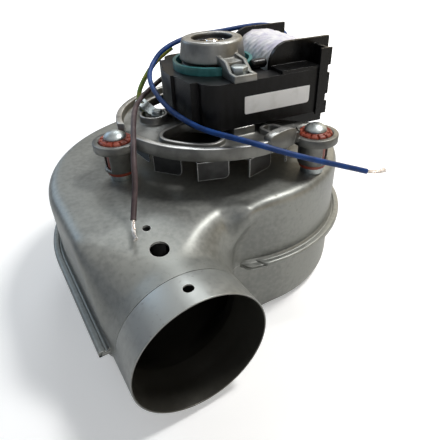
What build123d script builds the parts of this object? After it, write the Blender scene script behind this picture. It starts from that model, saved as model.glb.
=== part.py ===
"""Flue fan of a gas boiler: volute with outlet spigot, radial impeller, and a shaded-pole motor above it.

Millimetres, +Z up along the rotor's axis. The origin is the centre of the inlet, on the volute's underside.
The outlet points to -Y, and the motor's coil lies on the +X side.
"""

import os
from math import asin, cos, degrees, pi, radians, sin, tan

from build123d import *

os.makedirs("parts", exist_ok=True)

# Volute: sheet, spiral and seam
wall = 1.0
volute_height = 70.0
scroll_radius = 65.5
scroll_step = 10.5
tongue_angle = -112.0
shoulder_radius = 7.0
base_radius = 9.0
seam_width = 4.0
hem_reach = 2.8
hem_wall = 0.8
seam_start = 5.0
hem_start = 8.0
inlet_radius = 33.0
inlet_collar = 8.0
shaft_opening = 9.0
hood_screw_circle = 96.0
hood_screw_hole = 2.2
hood_screw_count = 4

# Outlet duct and spigot
spigot_radius = 30.0
spigot_wall = 0.8
duct_end = 76.0
duct_round = 6.0
duct_root = 38.0
spigot_length = 16.0
joggle_length = 6.0
spigot_test_hole = 2.2
shell_test_hole_small = 1.8
shell_test_hole_large = 4.1
test_hole_inset = 17.0
test_hole_pitch = 12.5

# Motor suspension: three lugs with silicone grommets
lug_inset = 10.5
lug_angles = (180.0, 300.0, 60.0)
lug_rim_radius = 11.0
lug_rim_lift = 16.0
lug_rim_height = 4.0
lug_recess_depth = 2.0
barrel_radius = 7.5
barrel_lift = 5.0
barrel_slot = 8.6
barrel_sill = 1.6
grommet_neck = 5.7
grommet_flange = 8.1
grommet_crown = 1.2
grommet_foot = 6.6
grommet_foot_height = 2.0
sleeve_radius = 3.3
screw_radius = 2.2
foot_radius = 5.6
head_radius = 5.3
head_height = 3.4
head_rim = 0.7
nut_across_flats = 7.0
nut_height = 3.6
nut_weld_gap = 0.6
lug_relief = 9.6
fit = 0.1

# Cast bracket
ring_inset = 4.0
ring_wall = 3.2
ring_lift = 18.0
ring_height = 6.0
floor_thickness = 2.5
arm_width = 15.0
gap_half_angle = 42.0
hub_radius = 13.0
hub_lift = 14.6
hub_height = 6.5
hub_ledge = 1.0
window_near = 21.0
window_inset = 10.0
window_corner_front = 6.5
window_corner_rear = 5.0
slot_depth = 9.0
slot_inset = 8.0
slot_corner = 2.0
rib_wall = 2.0
rib_height = 2.2
tab_angle = 277.0
tab_width = 13.0
tab_height = 6.5
tab_thickness = 4.5
tab_corner = 5.5
post_width = 11.0
post_depth = 10.0
post_lip = 0.5
boss_place = (-29.7, 11.2)
boss_radius = 7.4
boss_wall = 1.5
boss_opening = 62.0

# Earth terminal
earth_screw_place = (-28.2, 9.8)
earth_pad_radius = 3.6
earth_pad_height = 2.6
earth_screw_radius = 1.5
earth_head_radius = 2.6
earth_head_height = 2.0
tab_sheet = 0.8
tab_blade_width = 6.3
tab_blade_length = 13.0
tab_blade_rise = 20.0
tab_blade_angle = 106.0
tab_blade_hole = 1.1

# Motor: turned about the rotor's axis
motor_turn = -7.0
stack_gap = 0.5
stack_height = 21.0
stack_half_width = 31.5
stack_left = -23.4
stack_right = 43.5
column_x = -9.5
column_radius = 7.5
shoulder_x = -20.6
shoulder_y = 22.5
rib_zone = 7.0
rib_proud = 1.2
bore_radius = 16.0
limb_width = 10.0
window_left = 17.5
core_left = 30.0
core_right = 43.0
motor_screw_x = 1.5
motor_screw_y = 26.5
motor_screw_radius = 2.0
motor_screw_flats = 7.0
motor_screw_head = 3.2
shading_radius = 18.5
shading_sheet = 1.5
shading_angles = (228.0, 48.0)
shading_sweep = 18.0

# Coil
flange_left = 20.0
flange_right = 52.5
flange_drop = 9.7
flange_lift = 11.5
flange_thickness = 2.0
flange_gap = 0.2
flange_big_corner = 10.0
flange_small_corner = 3.0
tube_wall = 1.2
winding_inset = 2.4
winding_corner = 12.0
wrap_sheet = 0.8
tray_sheet = 1.5
tray_left = 21.0
tray_right = 41.0
plate_left = 40.5
plate_right = 46.5
plate_lift = 9.1
plate_drop = 0.9
plate_sheet = 1.0
plate_wall = 1.5
pin_hole_radius = 0.9
pin_hole_lifts = (24.0, 17.2, 10.2, 3.5)
plate_notch_depth = 1.8
plate_notch_height = 3.6
plate_notch_lifts = (20.5, 6.9)

# Top bearing bracket
dome_radius = 16.0
dome_top_radius = 14.6
dome_gap = 4.0
dome_height = 9.2
dome_edge = 1.6
recess_radius = 9.9
recess_depth = 2.7
channel_width = 11.0
screw_lip_gap = 1.9
screw_heel_gap = 0.8
channel_wall = 1.8
channel_floor = 2.2
channel_lip = 1.5
channel_lip_height = 3.2
channel_crest_lift = 7.1
air_ring_radius = 19.5
air_ring_wall = 1.6
air_ring_height = 3.6

# Rotor, bearings and felts
shaft_radius = 3.0
shaft_tail = 3.0
shaft_recess = 1.3
running_fit = 0.03
air_gap = 0.4
end_ring_height = 2.5
end_ring_inner = 10.0
end_ring_outer = 15.0
bearing_radius = 7.0
bearing_height = 5.0
washer_radius = 5.0
washer_gap = 0.1
felt_height = 1.5
felt_radius = 9.5
clip_sheet = 0.5
clip_eye = 5.6
clip_notches = 6
clip_notch_width = 2.0
clip_notch_depth = 1.8

# Cooling fan
fan_clearance = 6.3
fan_drop = 4.6
fan_sheet = 0.8
fan_flap_height = 9.4
fan_flap_length = 15.0
fan_flap_pitch = 12.0
fan_flap_count = 11
fan_flap_start = -154.7
fan_flap_corner = 2.5
fan_land = 7.0
fan_land_overlap = 2.0
fan_hub_radius = 7.0
fan_hub_height = 6.0

# Impeller
impeller_radius = 52.0
impeller_eye = 37.0
impeller_sheet = 1.0
impeller_top_gap = 9.0
impeller_eye_gap = 4.0
blade_count = 20
blade_sheet = 0.8
blade_margin = 0.6
blade_lean = 14.0
blade_hollow = 2.8
impeller_hub_radius = 9.0
impeller_hub_height = 8.0
impeller_nut_flats = 10.0
impeller_nut_height = 5.0

# Leads: chosen routes, from the motor to the free ends
lead_radius = 1.25
conductor_radius = 0.75
bend_share = 0.45
blue_route = (
    (52.6, 1.1, 106.0),
    (56.6, 5.2, 110.5),
    (57.8, 11.5, 117.0),
    (56.4, 18.3, 122.6),
    (49.9, 24.6, 125.0),
    (37.8, 29.1, 124.5),
    (23.2, 32.9, 123.0),
    (7.4, 34.8, 123.0),
    (-11.0, 33.4, 119.2),
    (-20.5, 29.5, 112.6),
    (-26.3, 20.5, 109.0),
    (-28.6, 10.0, 105.8),
    (-29.2, -1.0, 103.0),
    (-28.8, -12.0, 101.0),
    (-27.2, -23.0, 99.8),
    (-24.0, -34.0, 98.6),
    (-18.5, -44.5, 98.2),
    (-10.5, -54.0, 96.2),
    (0.6, -61.5, 91.8),
    (13.0, -66.5, 87.0),
    (25.0, -70.2, 82.4),
    (36.9, -73.4, 77.6),
)
brown_route = (
    (49.7, 15.4, 108.0),
    (50.6, 22.8, 108.0),
    (47.0, 29.4, 108.3),
    (38.2, 31.8, 108.0),
    (22.3, 34.1, 107.5),
    (4.4, 36.0, 106.5),
    (-8.7, 35.8, 105.0),
    (-18.6, 28.5, 103.4),
    (-30.0, 21.0, 101.0),
    (-38.2, 11.0, 100.6),
    (-43.8, 0.0, 100.3),
    (-48.6, -11.0, 99.7),
    (-53.3, -22.0, 97.4),
    (-57.2, -30.0, 92.0),
    (-59.6, -35.0, 84.5),
    (-62.8, -39.0, 77.8),
    (-66.0, -44.5, 73.6),
)
earth_route = (
    (-4.2, 37.4, 117.6),
    (-10.5, 37.8, 114.6),
    (-17.5, 37.0, 109.8),
    (-24.0, 35.2, 103.8),
    (-29.2, 31.4, 98.8),
    (-31.4, 25.6, 95.2),
    (-30.7, 19.6, 92.7),
    (-28.9, 14.4, 92.0),
)
blue_tip = (46.7, -76.0, 76.5)
brown_tip = (-69.4, -55.0, 71.6)

# Sizes that follow from the ones above
seam_height = volute_height / 2
half_step = scroll_step / 2
left_wall = -(scroll_radius + 2 * scroll_step + half_step)
spigot_x = left_wall + spigot_radius
duct_right = half_step + scroll_radius * cos(radians(tongue_angle)) + wall
round_start = duct_end - duct_round
lug_circle = scroll_radius - lug_inset
lug_rim_bottom = volute_height + lug_rim_lift
lug_rim_top = lug_rim_bottom + lug_rim_height
barrel_bottom = volute_height + barrel_lift
ring_radius = lug_circle - ring_inset
ring_bottom = volute_height + ring_lift
ring_top = ring_bottom + ring_height
window_far = ring_radius - window_inset
slot_far = ring_radius - slot_inset
slot_near = slot_far - slot_depth
hub_bottom = volute_height + hub_lift
hub_top = hub_bottom + hub_height
stack_bottom = ring_top + stack_gap
screw_hole = screw_radius + 3 * fit
head_seat = lug_rim_top + grommet_crown
sleeve_bottom = barrel_bottom - grommet_foot_height
nut_bottom = volute_height - wall - nut_weld_gap - nut_height
floor_top = ring_bottom + floor_thickness
stack_top = stack_bottom + stack_height
flange_bottom = stack_bottom - flange_drop
flange_top = stack_top + flange_lift
plate_bottom = stack_bottom - plate_drop
plate_top = stack_top + plate_lift
dome_bottom = stack_top + dome_gap
dome_top = dome_bottom + dome_height
channel_crest = stack_top + channel_crest_lift
limb_inner = stack_half_width - limb_width
flange_face = limb_inner - flange_gap
winding_end = flange_face - flange_thickness
core_middle = (core_left + core_right) / 2
core_height = (stack_bottom + stack_top) / 2
post_y = stack_half_width + post_lip - post_depth / 2
channel_top = stack_top + channel_floor
channel_reach = motor_screw_y + motor_screw_flats / 2 + screw_lip_gap + channel_lip
foot_inner = motor_screw_y - motor_screw_flats / 2 - screw_heel_gap - channel_floor
channel_foot = channel_reach - foot_inner
clip_seat = dome_top - recess_depth
upper_bearing_bottom = clip_seat - bearing_height
lower_bearing_bottom = hub_bottom + hub_ledge
lower_bearing_top = lower_bearing_bottom + bearing_height
shaft_hole = shaft_radius + running_fit
rotor_radius = bore_radius - air_gap
fan_disc_radius = lug_circle - barrel_radius - fan_clearance
fan_disc_top = ring_bottom - fan_drop
fan_disc_bottom = fan_disc_top - fan_sheet
fan_flap_bottom = fan_disc_top - fan_flap_height
impeller_top = volute_height - wall - impeller_top_gap
impeller_bottom = inlet_collar + impeller_eye_gap
backplate_bottom = impeller_top - impeller_sheet
impeller_hub_bottom = backplate_bottom - impeller_hub_height
shaft_top = dome_top - shaft_recess
shaft_bottom = impeller_hub_bottom - impeller_nut_height - shaft_tail


def polar(radius, angle, height=0.0):
    """Point at a radius and an angle round the rotor's axis."""
    return Vector(radius * cos(radians(angle)), radius * sin(radians(angle)), height)


def motor_plane(height):
    """Horizontal plane in the motor's own direction, at a height."""
    return Plane(origin=(0, 0, height), x_dir=polar(1, motor_turn), z_dir=(0, 0, 1))


def motor_upright(across):
    """Upright plane across the motor, with its normal to the front, at a distance along the motor's Y."""
    origin = polar(across, motor_turn + 90)
    return Plane(origin=origin, x_dir=polar(1, motor_turn), z_dir=polar(1, motor_turn - 90))


def motor_side(along):
    """Upright plane along the motor's Y, with its normal to the coil, at a distance along the motor's X."""
    origin = polar(along, motor_turn)
    return Plane(origin=origin, x_dir=polar(1, motor_turn + 90), z_dir=polar(1, motor_turn))


def radial_plane(angle, radius=0.0):
    """Upright plane through the rotor's axis, with its X outwards from a radius."""
    return Plane(origin=polar(radius, angle), x_dir=polar(1, angle), z_dir=polar(1, angle - 90))


def tangent_plane(angle, radius, height=0.0, pitch=0.0):
    """Upright plane across a radius, with its normal outwards, turned by a pitch."""
    return Plane(
        origin=polar(radius, angle, height),
        x_dir=polar(1, angle + 90 + pitch),
        z_dir=polar(1, angle + pitch),
    )


def lug_axis(angle):
    """Axis of one lug."""
    return Axis(polar(lug_circle, angle), (0, 0, 1))


def scroll_solid(inset):
    """Drum of the volute with its wall moved inwards: quarter arcs that grow by a step a quarter turn."""
    with BuildPart(mode=Mode.PRIVATE) as scroll:
        with BuildSketch(Plane.XY.offset(inset)):
            with BuildLine():
                right = CenterArc((half_step, half_step), scroll_radius - inset, tongue_angle, -tongue_angle)
                CenterArc((-half_step, half_step), scroll_radius + scroll_step - inset, 0, 90)
                left = CenterArc((-half_step, -half_step), scroll_radius + 2 * scroll_step - inset, 90, 90)
                side = Line(left @ 1, (left_wall + inset, -duct_root - shoulder_radius))
                Line(side @ 1, right @ 0)
            make_face()
        extrude(amount=volute_height - 2 * inset)
        fillet(scroll.edges().group_by(Axis.Z)[-1], shoulder_radius - inset)
        fillet(scroll.edges().group_by(Axis.Z)[0], base_radius - inset)
    return scroll.part


def duct_solid(inset):
    """Outlet duct: from the volute's full section to the round spigot."""
    radius = spigot_radius - inset
    with BuildPart(mode=Mode.PRIVATE) as duct:
        with BuildSketch(Plane.XZ.offset(duct_root)):
            with Locations(((duct_right + left_wall) / 2, seam_height)):
                RectangleRounded(
                    duct_right - left_wall - 2 * inset,
                    volute_height - 2 * inset,
                    shoulder_radius - inset,
                )
        with BuildSketch(Plane.XZ.offset(round_start)):
            with Locations((spigot_x, seam_height)):
                RectangleRounded(2 * radius, 2 * radius, radius - wall / 20)
        loft()
        with BuildSketch(Plane.XZ.offset(round_start)):
            with Locations((spigot_x, seam_height)):
                Circle(radius)
        extrude(amount=duct_round)
    return duct.part


def volute_form(inset):
    """Drum and duct as one solid, with the wall moved inwards."""
    drum = scroll_solid(inset)
    outlet = duct_solid(inset)
    with BuildPart(mode=Mode.PRIVATE) as form:
        add(drum)
        add(outlet)
    return form.part


def seam_strip(grow_in, grow_out, start_angle, front_end):
    """Flat strip along the seam, between two distances from the volute's wall."""
    centre = Vector(half_step, half_step)
    with BuildSketch(mode=Mode.PRIVATE) as strip:
        with BuildLine():
            for grow in (grow_in, grow_out):
                CenterArc((half_step, half_step), scroll_radius + grow, start_angle, -start_angle)
                CenterArc((-half_step, half_step), scroll_radius + scroll_step + grow, 0, 90)
                CenterArc((-half_step, -half_step), scroll_radius + 2 * scroll_step + grow, 90, 90)
                Line((left_wall - grow, -half_step), (left_wall - grow, front_end))
            Line((left_wall - grow_in, front_end), (left_wall - grow_out, front_end))
            Line(
                centre + polar(scroll_radius + grow_in, start_angle),
                centre + polar(scroll_radius + grow_out, start_angle),
            )
        make_face()
    return strip.sketch


def spigot_ring(outer, inner, start, length):
    """Round tube along the outlet's axis, from a distance in front of the rotor."""
    with BuildPart(mode=Mode.PRIVATE) as tube:
        with BuildSketch(Plane.XZ.offset(start)):
            with Locations((spigot_x, seam_height)):
                Circle(outer)
                Circle(inner, mode=Mode.SUBTRACT)
        extrude(amount=length)
    return tube.part


def arc_sector(near, far, start, sweep):
    """Flat face between two radii and two angles."""
    with BuildSketch(mode=Mode.PRIVATE) as sector:
        with BuildLine():
            outer = CenterArc((0, 0), far, start, sweep)
            inner = CenterArc((0, 0), near, start, sweep)
            Line(outer @ 0, inner @ 0)
            Line(outer @ 1, inner @ 1)
        make_face()
    return sector.sketch


def arc_window(start, sweep, near, far, corner, grow):
    """Rounded window between two radii and two angles, grown by a rim."""
    sector = arc_sector(near, far, start, sweep)
    with BuildSketch(mode=Mode.PRIVATE) as window:
        add(sector)
        fillet(window.vertices(), corner)
        if grow > 0:
            offset(amount=grow)
    return window.sketch


def coil_gap():
    """Sector and slot that the cast ring leaves open round the coil."""
    reach = 2 * ring_radius
    slot_left = flange_left - rib_wall
    with BuildSketch(mode=Mode.PRIVATE) as gap:
        with BuildLine():
            Polyline(
                (0, 0),
                polar(reach, motor_turn - gap_half_angle),
                polar(reach, motor_turn + gap_half_angle),
                (0, 0),
            )
        make_face()
        with Locations(Location((0, 0, 0), (0, 0, motor_turn))):
            with Locations(((slot_left + reach) / 2, 0)):
                Rectangle(reach - slot_left, 2 * (flange_face + rib_wall))
    return gap.sketch


def round_ring(bottom, top, outer, inner):
    """Flat ring round the rotor's axis."""
    with BuildPart(mode=Mode.PRIVATE) as ring:
        with BuildSketch(Plane.XY.offset(bottom)):
            Circle(outer)
            Circle(inner, mode=Mode.SUBTRACT)
        extrude(amount=top - bottom)
    return ring.part


def star_clip(bottom):
    """Spring clip: a sheet ring with notches round its eye."""
    with BuildPart(mode=Mode.PRIVATE) as clip:
        with BuildSketch(Plane.XY.offset(bottom)):
            Circle(felt_radius)
            Circle(clip_eye, mode=Mode.SUBTRACT)
            with PolarLocations(clip_eye, clip_notches):
                Rectangle(2 * clip_notch_depth, clip_notch_width, mode=Mode.SUBTRACT)
        extrude(amount=clip_sheet)
    return clip.part


def lead_tube(points, radius):
    """Round lead: straight runs joined by arcs that are as large as the runs allow."""
    corners = [Vector(*point) for point in points]
    runs = [end - start for start, end in zip(corners, corners[1:])]
    bends = []
    for before, after in zip(runs, runs[1:]):
        half_turn = radians(before.get_angle(after) / 2)
        bends.append(bend_share * min(before.length, after.length) / tan(half_turn))
    with BuildPart(mode=Mode.PRIVATE) as tube:
        with BuildLine() as route:
            FilletPolyline(*corners, radius=bends)
        with BuildSketch(Plane(origin=route.line @ 0, z_dir=route.line % 0)):
            Circle(radius)
        sweep()
    length = sum(edge.length for edge in route.edges())
    share = tube.part.volume / (pi * radius**2 * length)
    print("lead", round(length, 1), "mm, volume against section times length", round(share, 4))
    print("   bend radii", [round(bend, 1) for bend in bends])
    return tube.part


def bare_end(route, tip):
    """Bare conductor: it leaves the insulation straight, and then bends to its tip."""
    exit_point = Vector(*route[-1])
    heading = (exit_point - Vector(*route[-2])).normalized()
    reach = (Vector(*tip) - exit_point).length
    middle = exit_point + heading * (reach / 2)
    return lead_tube((tuple(exit_point), tuple(middle), tip), conductor_radius)


# Volute

outer_form = volute_form(0)
inner_form = volute_form(wall)
hem_end = -half_step - seam_width
upper_flange = seam_strip(-wall / 2, seam_width, tongue_angle + seam_start, -round_start)
lower_flange = seam_strip(-wall / 2, seam_width + hem_wall, tongue_angle + seam_start, -round_start)
hem_web = seam_strip(seam_width, seam_width + hem_wall, tongue_angle + hem_start, hem_end)
hem_lip = seam_strip(seam_width - hem_reach, seam_width + hem_wall, tongue_angle + hem_start, hem_end)

with BuildPart() as volute_upper_shell:
    add(outer_form)
    add(inner_form, mode=Mode.SUBTRACT)
    split(bisect_by=Plane.XY.offset(seam_height), keep=Keep.TOP)
    with BuildSketch(Plane.XY.offset(seam_height)):
        add(upper_flange)
    extrude(amount=wall)
    with BuildSketch(Plane.XY.offset(volute_height)):
        Circle(shaft_opening)
        for angle in lug_angles:
            with Locations(polar(lug_circle, angle)):
                Circle(screw_hole)
        with Locations((spigot_x, -round_start + test_hole_inset + test_hole_pitch / 2)):
            Circle(shell_test_hole_small)
        with Locations((spigot_x, -round_start + test_hole_inset - test_hole_pitch / 2)):
            Circle(shell_test_hole_large)
    extrude(amount=-shoulder_radius - wall, mode=Mode.SUBTRACT)
volute_upper_shell.part.label = "volute_upper_shell"
export_step(volute_upper_shell.part, "parts/volute_upper_shell.step")

with BuildPart() as volute_lower_shell:
    add(outer_form)
    add(inner_form, mode=Mode.SUBTRACT)
    split(bisect_by=Plane.XY.offset(seam_height), keep=Keep.BOTTOM)
    with BuildSketch(Plane.XY.offset(seam_height)):
        add(lower_flange)
    extrude(amount=-wall)
    with BuildSketch(Plane.XY.offset(seam_height)):
        add(hem_web)
    extrude(amount=wall + hem_wall)
    with BuildSketch(Plane.XY.offset(seam_height + wall)):
        add(hem_lip)
    extrude(amount=hem_wall)
    with BuildSketch():
        Circle(inlet_radius + wall)
    extrude(amount=inlet_collar)
    with BuildSketch():
        Circle(inlet_radius)
    extrude(amount=inlet_collar, mode=Mode.SUBTRACT)
    with BuildSketch():
        with PolarLocations(hood_screw_circle / 2, hood_screw_count, 45):
            Circle(hood_screw_hole)
    extrude(amount=wall, mode=Mode.SUBTRACT)
volute_lower_shell.part.label = "volute_lower_shell"
export_step(volute_lower_shell.part, "parts/volute_lower_shell.step")

joggle_inner = spigot_radius - wall - spigot_wall
spigot_barrel = spigot_ring(spigot_radius, spigot_radius - spigot_wall, duct_end, spigot_length)
spigot_step = spigot_ring(spigot_radius, joggle_inner, duct_end, spigot_wall)
spigot_joggle = spigot_ring(spigot_radius - wall, joggle_inner, duct_end - joggle_length, joggle_length)

with BuildPart() as outlet_spigot:
    add(spigot_barrel)
    add(spigot_step)
    add(spigot_joggle)
    with BuildSketch(Plane.XY.offset(seam_height)):
        with Locations((spigot_x, -duct_end - spigot_length / 2)):
            Circle(spigot_test_hole)
    extrude(amount=spigot_radius, mode=Mode.SUBTRACT)
outlet_spigot.part.label = "outlet_spigot"
export_step(outlet_spigot.part, "parts/outlet_spigot.step")

# Suspension at each lug: spacer foot, grommet, sleeve, screw and nut on one axis

with BuildPart() as spacer_feet:
    with BuildSketch(Plane.XY.offset(volute_height)):
        for angle in lug_angles:
            with Locations(polar(lug_circle, angle)):
                Circle(foot_radius)
                Circle(screw_hole, mode=Mode.SUBTRACT)
    extrude(amount=sleeve_bottom - volute_height)
spacer_feet.part.label = "spacer_feet"
export_step(spacer_feet.part, "parts/spacer_feet.step")

with BuildPart() as mount_grommets:
    for angle in lug_angles:
        with BuildSketch(radial_plane(angle, lug_circle)):
            with BuildLine():
                Polyline(
                    (sleeve_radius + fit, sleeve_bottom),
                    (grommet_foot, sleeve_bottom),
                    (grommet_foot, barrel_bottom),
                    (grommet_neck, barrel_bottom),
                    (grommet_neck, lug_rim_top - lug_recess_depth),
                    (grommet_flange, lug_rim_top - lug_recess_depth),
                    (grommet_flange, lug_rim_top - grommet_crown / 2),
                    (grommet_flange - grommet_crown, head_seat),
                    (sleeve_radius + fit, head_seat),
                    (sleeve_radius + fit, sleeve_bottom),
                )
            make_face()
        revolve(axis=lug_axis(angle))
mount_grommets.part.label = "mount_grommets"
export_step(mount_grommets.part, "parts/mount_grommets.step")

with BuildPart() as grommet_sleeves:
    with BuildSketch(Plane.XY.offset(sleeve_bottom)):
        for angle in lug_angles:
            with Locations(polar(lug_circle, angle)):
                Circle(sleeve_radius)
                Circle(screw_radius + fit, mode=Mode.SUBTRACT)
    extrude(amount=head_seat - sleeve_bottom)
grommet_sleeves.part.label = "grommet_sleeves"
export_step(grommet_sleeves.part, "parts/grommet_sleeves.step")

head_top = head_seat + head_height
dome_rise = head_height - head_rim
ball_radius = (dome_rise**2 + head_radius**2) / (2 * dome_rise)
ball_angle = degrees(asin(head_radius / ball_radius))

with BuildPart() as mount_screws:
    for angle in lug_angles:
        with BuildSketch(radial_plane(angle, lug_circle)):
            with BuildLine():
                dome = CenterArc((0, head_top - ball_radius), ball_radius, 90, -ball_angle)
                Polyline(
                    dome @ 0,
                    (0, nut_bottom),
                    (screw_radius, nut_bottom),
                    (screw_radius, head_seat),
                    (head_radius, head_seat),
                    dome @ 1,
                )
            make_face()
        revolve(axis=lug_axis(angle))
mount_screws.part.label = "mount_screws"
export_step(mount_screws.part, "parts/mount_screws.step")

with BuildPart() as weld_nuts:
    with BuildSketch(Plane.XY.offset(nut_bottom)):
        for angle in lug_angles:
            with Locations(polar(lug_circle, angle)):
                RegularPolygon(nut_across_flats / 2, 6, major_radius=False, rotation=angle + 30)
                Circle(screw_radius + fit, mode=Mode.SUBTRACT)
    extrude(amount=nut_height)
weld_nuts.part.label = "weld_nuts"
export_step(weld_nuts.part, "parts/weld_nuts.step")

# Cast bracket: open ring, floor with rimmed windows, lugs with slotted barrels, bearing hub and motor posts

ring_gap = coil_gap()
bracket_windows = (
    (198.0, 47.0, window_near, window_far, window_corner_front),
    (281.0, 9.0, slot_near, slot_far, slot_corner),
    (98.0, 42.0, window_near, window_far, window_corner_rear),
)
window_holes = [arc_window(*window, 0) for window in bracket_windows]
window_rims = [arc_window(*window, rib_wall) for window in bracket_windows]

with BuildPart() as motor_bracket:
    with BuildSketch(Plane.XY.offset(ring_bottom)):
        Circle(ring_radius)
        Circle(ring_radius - ring_wall, mode=Mode.SUBTRACT)
        add(ring_gap, mode=Mode.SUBTRACT)
    extrude(amount=ring_top - ring_bottom)
    with BuildSketch(Plane.XY.offset(ring_bottom)):
        Circle(ring_radius - ring_wall / 2)
        add(ring_gap, mode=Mode.SUBTRACT)
    extrude(amount=floor_thickness)
    with BuildSketch(Plane.XY.offset(ring_bottom)):
        for rim in window_rims:
            add(rim)
    extrude(amount=floor_thickness + rib_height)
    with BuildSketch(Plane.XY.offset(lug_rim_bottom)):
        for angle in lug_angles:
            with Locations(polar(lug_circle, angle)):
                Circle(lug_rim_radius)
            with Locations(Location((0, 0, 0), (0, 0, angle))):
                with Locations(((ring_radius - ring_wall + lug_circle) / 2, 0)):
                    Rectangle(lug_circle - ring_radius + ring_wall, arm_width)
    extrude(amount=lug_rim_top - lug_rim_bottom)
    with BuildSketch(Plane.XY.offset(barrel_bottom)):
        for angle in lug_angles:
            with Locations(polar(lug_circle, angle)):
                Circle(barrel_radius)
    extrude(amount=lug_rim_bottom - barrel_bottom)
    with BuildSketch(Plane.XY.offset(hub_bottom)):
        Circle(hub_radius)
    extrude(amount=hub_top - hub_bottom)
    with BuildSketch(tangent_plane(tab_angle, ring_radius)):
        with Locations((0, (ring_bottom + ring_top + tab_height) / 2)):
            tab_face = Rectangle(tab_width, ring_top + tab_height - ring_bottom)
        fillet(tab_face.vertices().group_by(Axis.Y)[-1], tab_corner)
    extrude(amount=-tab_thickness)
    with BuildSketch(motor_plane(ring_bottom)):
        with Locations((motor_screw_x, post_y), (motor_screw_x, -post_y)):
            Rectangle(post_width, post_depth)
    extrude(amount=stack_bottom - ring_bottom)
    with BuildSketch(Plane.XY.offset(floor_top)):
        with Locations(boss_place):
            Circle(boss_radius)
            Circle(boss_radius - boss_wall, mode=Mode.SUBTRACT)
            with Locations(Location((0, 0, 0), (0, 0, boss_opening))):
                with Locations((boss_radius, 0)):
                    Rectangle(boss_radius, 2 * boss_radius, mode=Mode.SUBTRACT)
    extrude(amount=ring_top - floor_top)
    with BuildSketch(Plane.XY.offset(floor_top)):
        with Locations(earth_screw_place):
            Circle(earth_pad_radius)
    extrude(amount=earth_pad_height)
    with BuildSketch(Plane.XY.offset(ring_bottom)):
        for hole in window_holes:
            add(hole)
    extrude(amount=ring_top - ring_bottom, mode=Mode.SUBTRACT)
    with BuildSketch(motor_plane(ring_bottom)):
        with Locations((motor_screw_x, motor_screw_y), (motor_screw_x, -motor_screw_y)):
            Circle(motor_screw_radius + fit)
    extrude(amount=stack_bottom - ring_bottom, mode=Mode.SUBTRACT)
    with BuildSketch(Plane.XY.offset(floor_top)):
        with Locations(earth_screw_place):
            Circle(earth_screw_radius + fit)
    extrude(amount=earth_pad_height, mode=Mode.SUBTRACT)
    for angle in lug_angles:
        with BuildSketch(Plane.XY.offset(barrel_bottom)):
            with Locations(polar(lug_circle, angle)):
                Circle(grommet_neck + fit)
        extrude(amount=lug_rim_top - barrel_bottom, mode=Mode.SUBTRACT)
        with BuildSketch(Plane.XY.offset(lug_rim_top)):
            with Locations(polar(lug_circle, angle)):
                Circle(grommet_flange + fit)
        extrude(amount=-lug_recess_depth, mode=Mode.SUBTRACT)
        with BuildSketch(Plane.XY.offset(lug_rim_top)):
            with Locations(polar(lug_circle, angle)):
                Circle(lug_relief)
        extrude(amount=ring_top - lug_rim_top, mode=Mode.SUBTRACT)
        with BuildSketch(tangent_plane(angle, lug_circle)):
            with Locations((0, (barrel_bottom + barrel_sill + lug_rim_bottom) / 2)):
                Rectangle(barrel_slot, lug_rim_bottom - barrel_bottom - barrel_sill)
        extrude(amount=2 * barrel_radius, mode=Mode.SUBTRACT)
    with BuildSketch(Plane.XY.offset(hub_top)):
        Circle(felt_radius + fit)
    extrude(amount=lower_bearing_top - felt_height - hub_top, mode=Mode.SUBTRACT)
    with BuildSketch(Plane.XY.offset(hub_top)):
        Circle(bearing_radius)
    extrude(amount=lower_bearing_bottom - hub_top, mode=Mode.SUBTRACT)
    with BuildSketch(Plane.XY.offset(hub_bottom)):
        Circle(washer_radius)
    extrude(amount=hub_ledge, mode=Mode.SUBTRACT)
motor_bracket.part.label = "motor_bracket"
export_step(motor_bracket.part, "parts/motor_bracket.step")

# Earth terminal on the bracket's boss

tab_seat = floor_top + earth_pad_height
blade_tilt = radians(tab_blade_rise)
blade_start = Vector(*earth_screw_place, tab_seat) + polar(earth_pad_radius - tab_sheet, tab_blade_angle)
blade_plane = Plane(
    origin=blade_start,
    x_dir=polar(cos(blade_tilt), tab_blade_angle, sin(blade_tilt)),
    z_dir=polar(-sin(blade_tilt), tab_blade_angle, cos(blade_tilt)),
)

with BuildPart() as earth_tab:
    with BuildSketch(Plane.XY.offset(tab_seat)):
        with Locations(earth_screw_place):
            Circle(earth_pad_radius)
    extrude(amount=tab_sheet)
    with BuildSketch(blade_plane):
        with Locations((tab_blade_length / 2, 0)):
            blade_face = Rectangle(tab_blade_length, tab_blade_width)
        chamfer(blade_face.vertices().group_by(Axis.X)[-1], tab_blade_width / 5)
        with Locations((tab_blade_length - tab_blade_width / 2, 0)):
            Circle(tab_blade_hole, mode=Mode.SUBTRACT)
    extrude(amount=tab_sheet)
    with BuildSketch(Plane.XY.offset(floor_top)):
        with Locations(earth_screw_place):
            Circle(earth_screw_radius + fit)
    extrude(amount=tab_blade_length, mode=Mode.SUBTRACT)
earth_tab.part.label = "earth_tab"
export_step(earth_tab.part, "parts/earth_tab.step")

with BuildPart() as earth_screw:
    with BuildSketch(Plane.XY.offset(floor_top)):
        with Locations(earth_screw_place):
            Circle(earth_screw_radius)
    extrude(amount=earth_pad_height + tab_sheet)
    with BuildSketch(Plane.XY.offset(tab_seat + tab_sheet)):
        with Locations(earth_screw_place):
            Circle(earth_head_radius)
    extrude(amount=earth_head_height)
    fillet(earth_screw.edges().group_by(Axis.Z)[-1], earth_head_height / 2)
earth_screw.part.label = "earth_screw"
export_step(earth_screw.part, "parts/earth_screw.step")

# Stator: laminated stack, shading rings, and the leg through the coil

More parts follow.
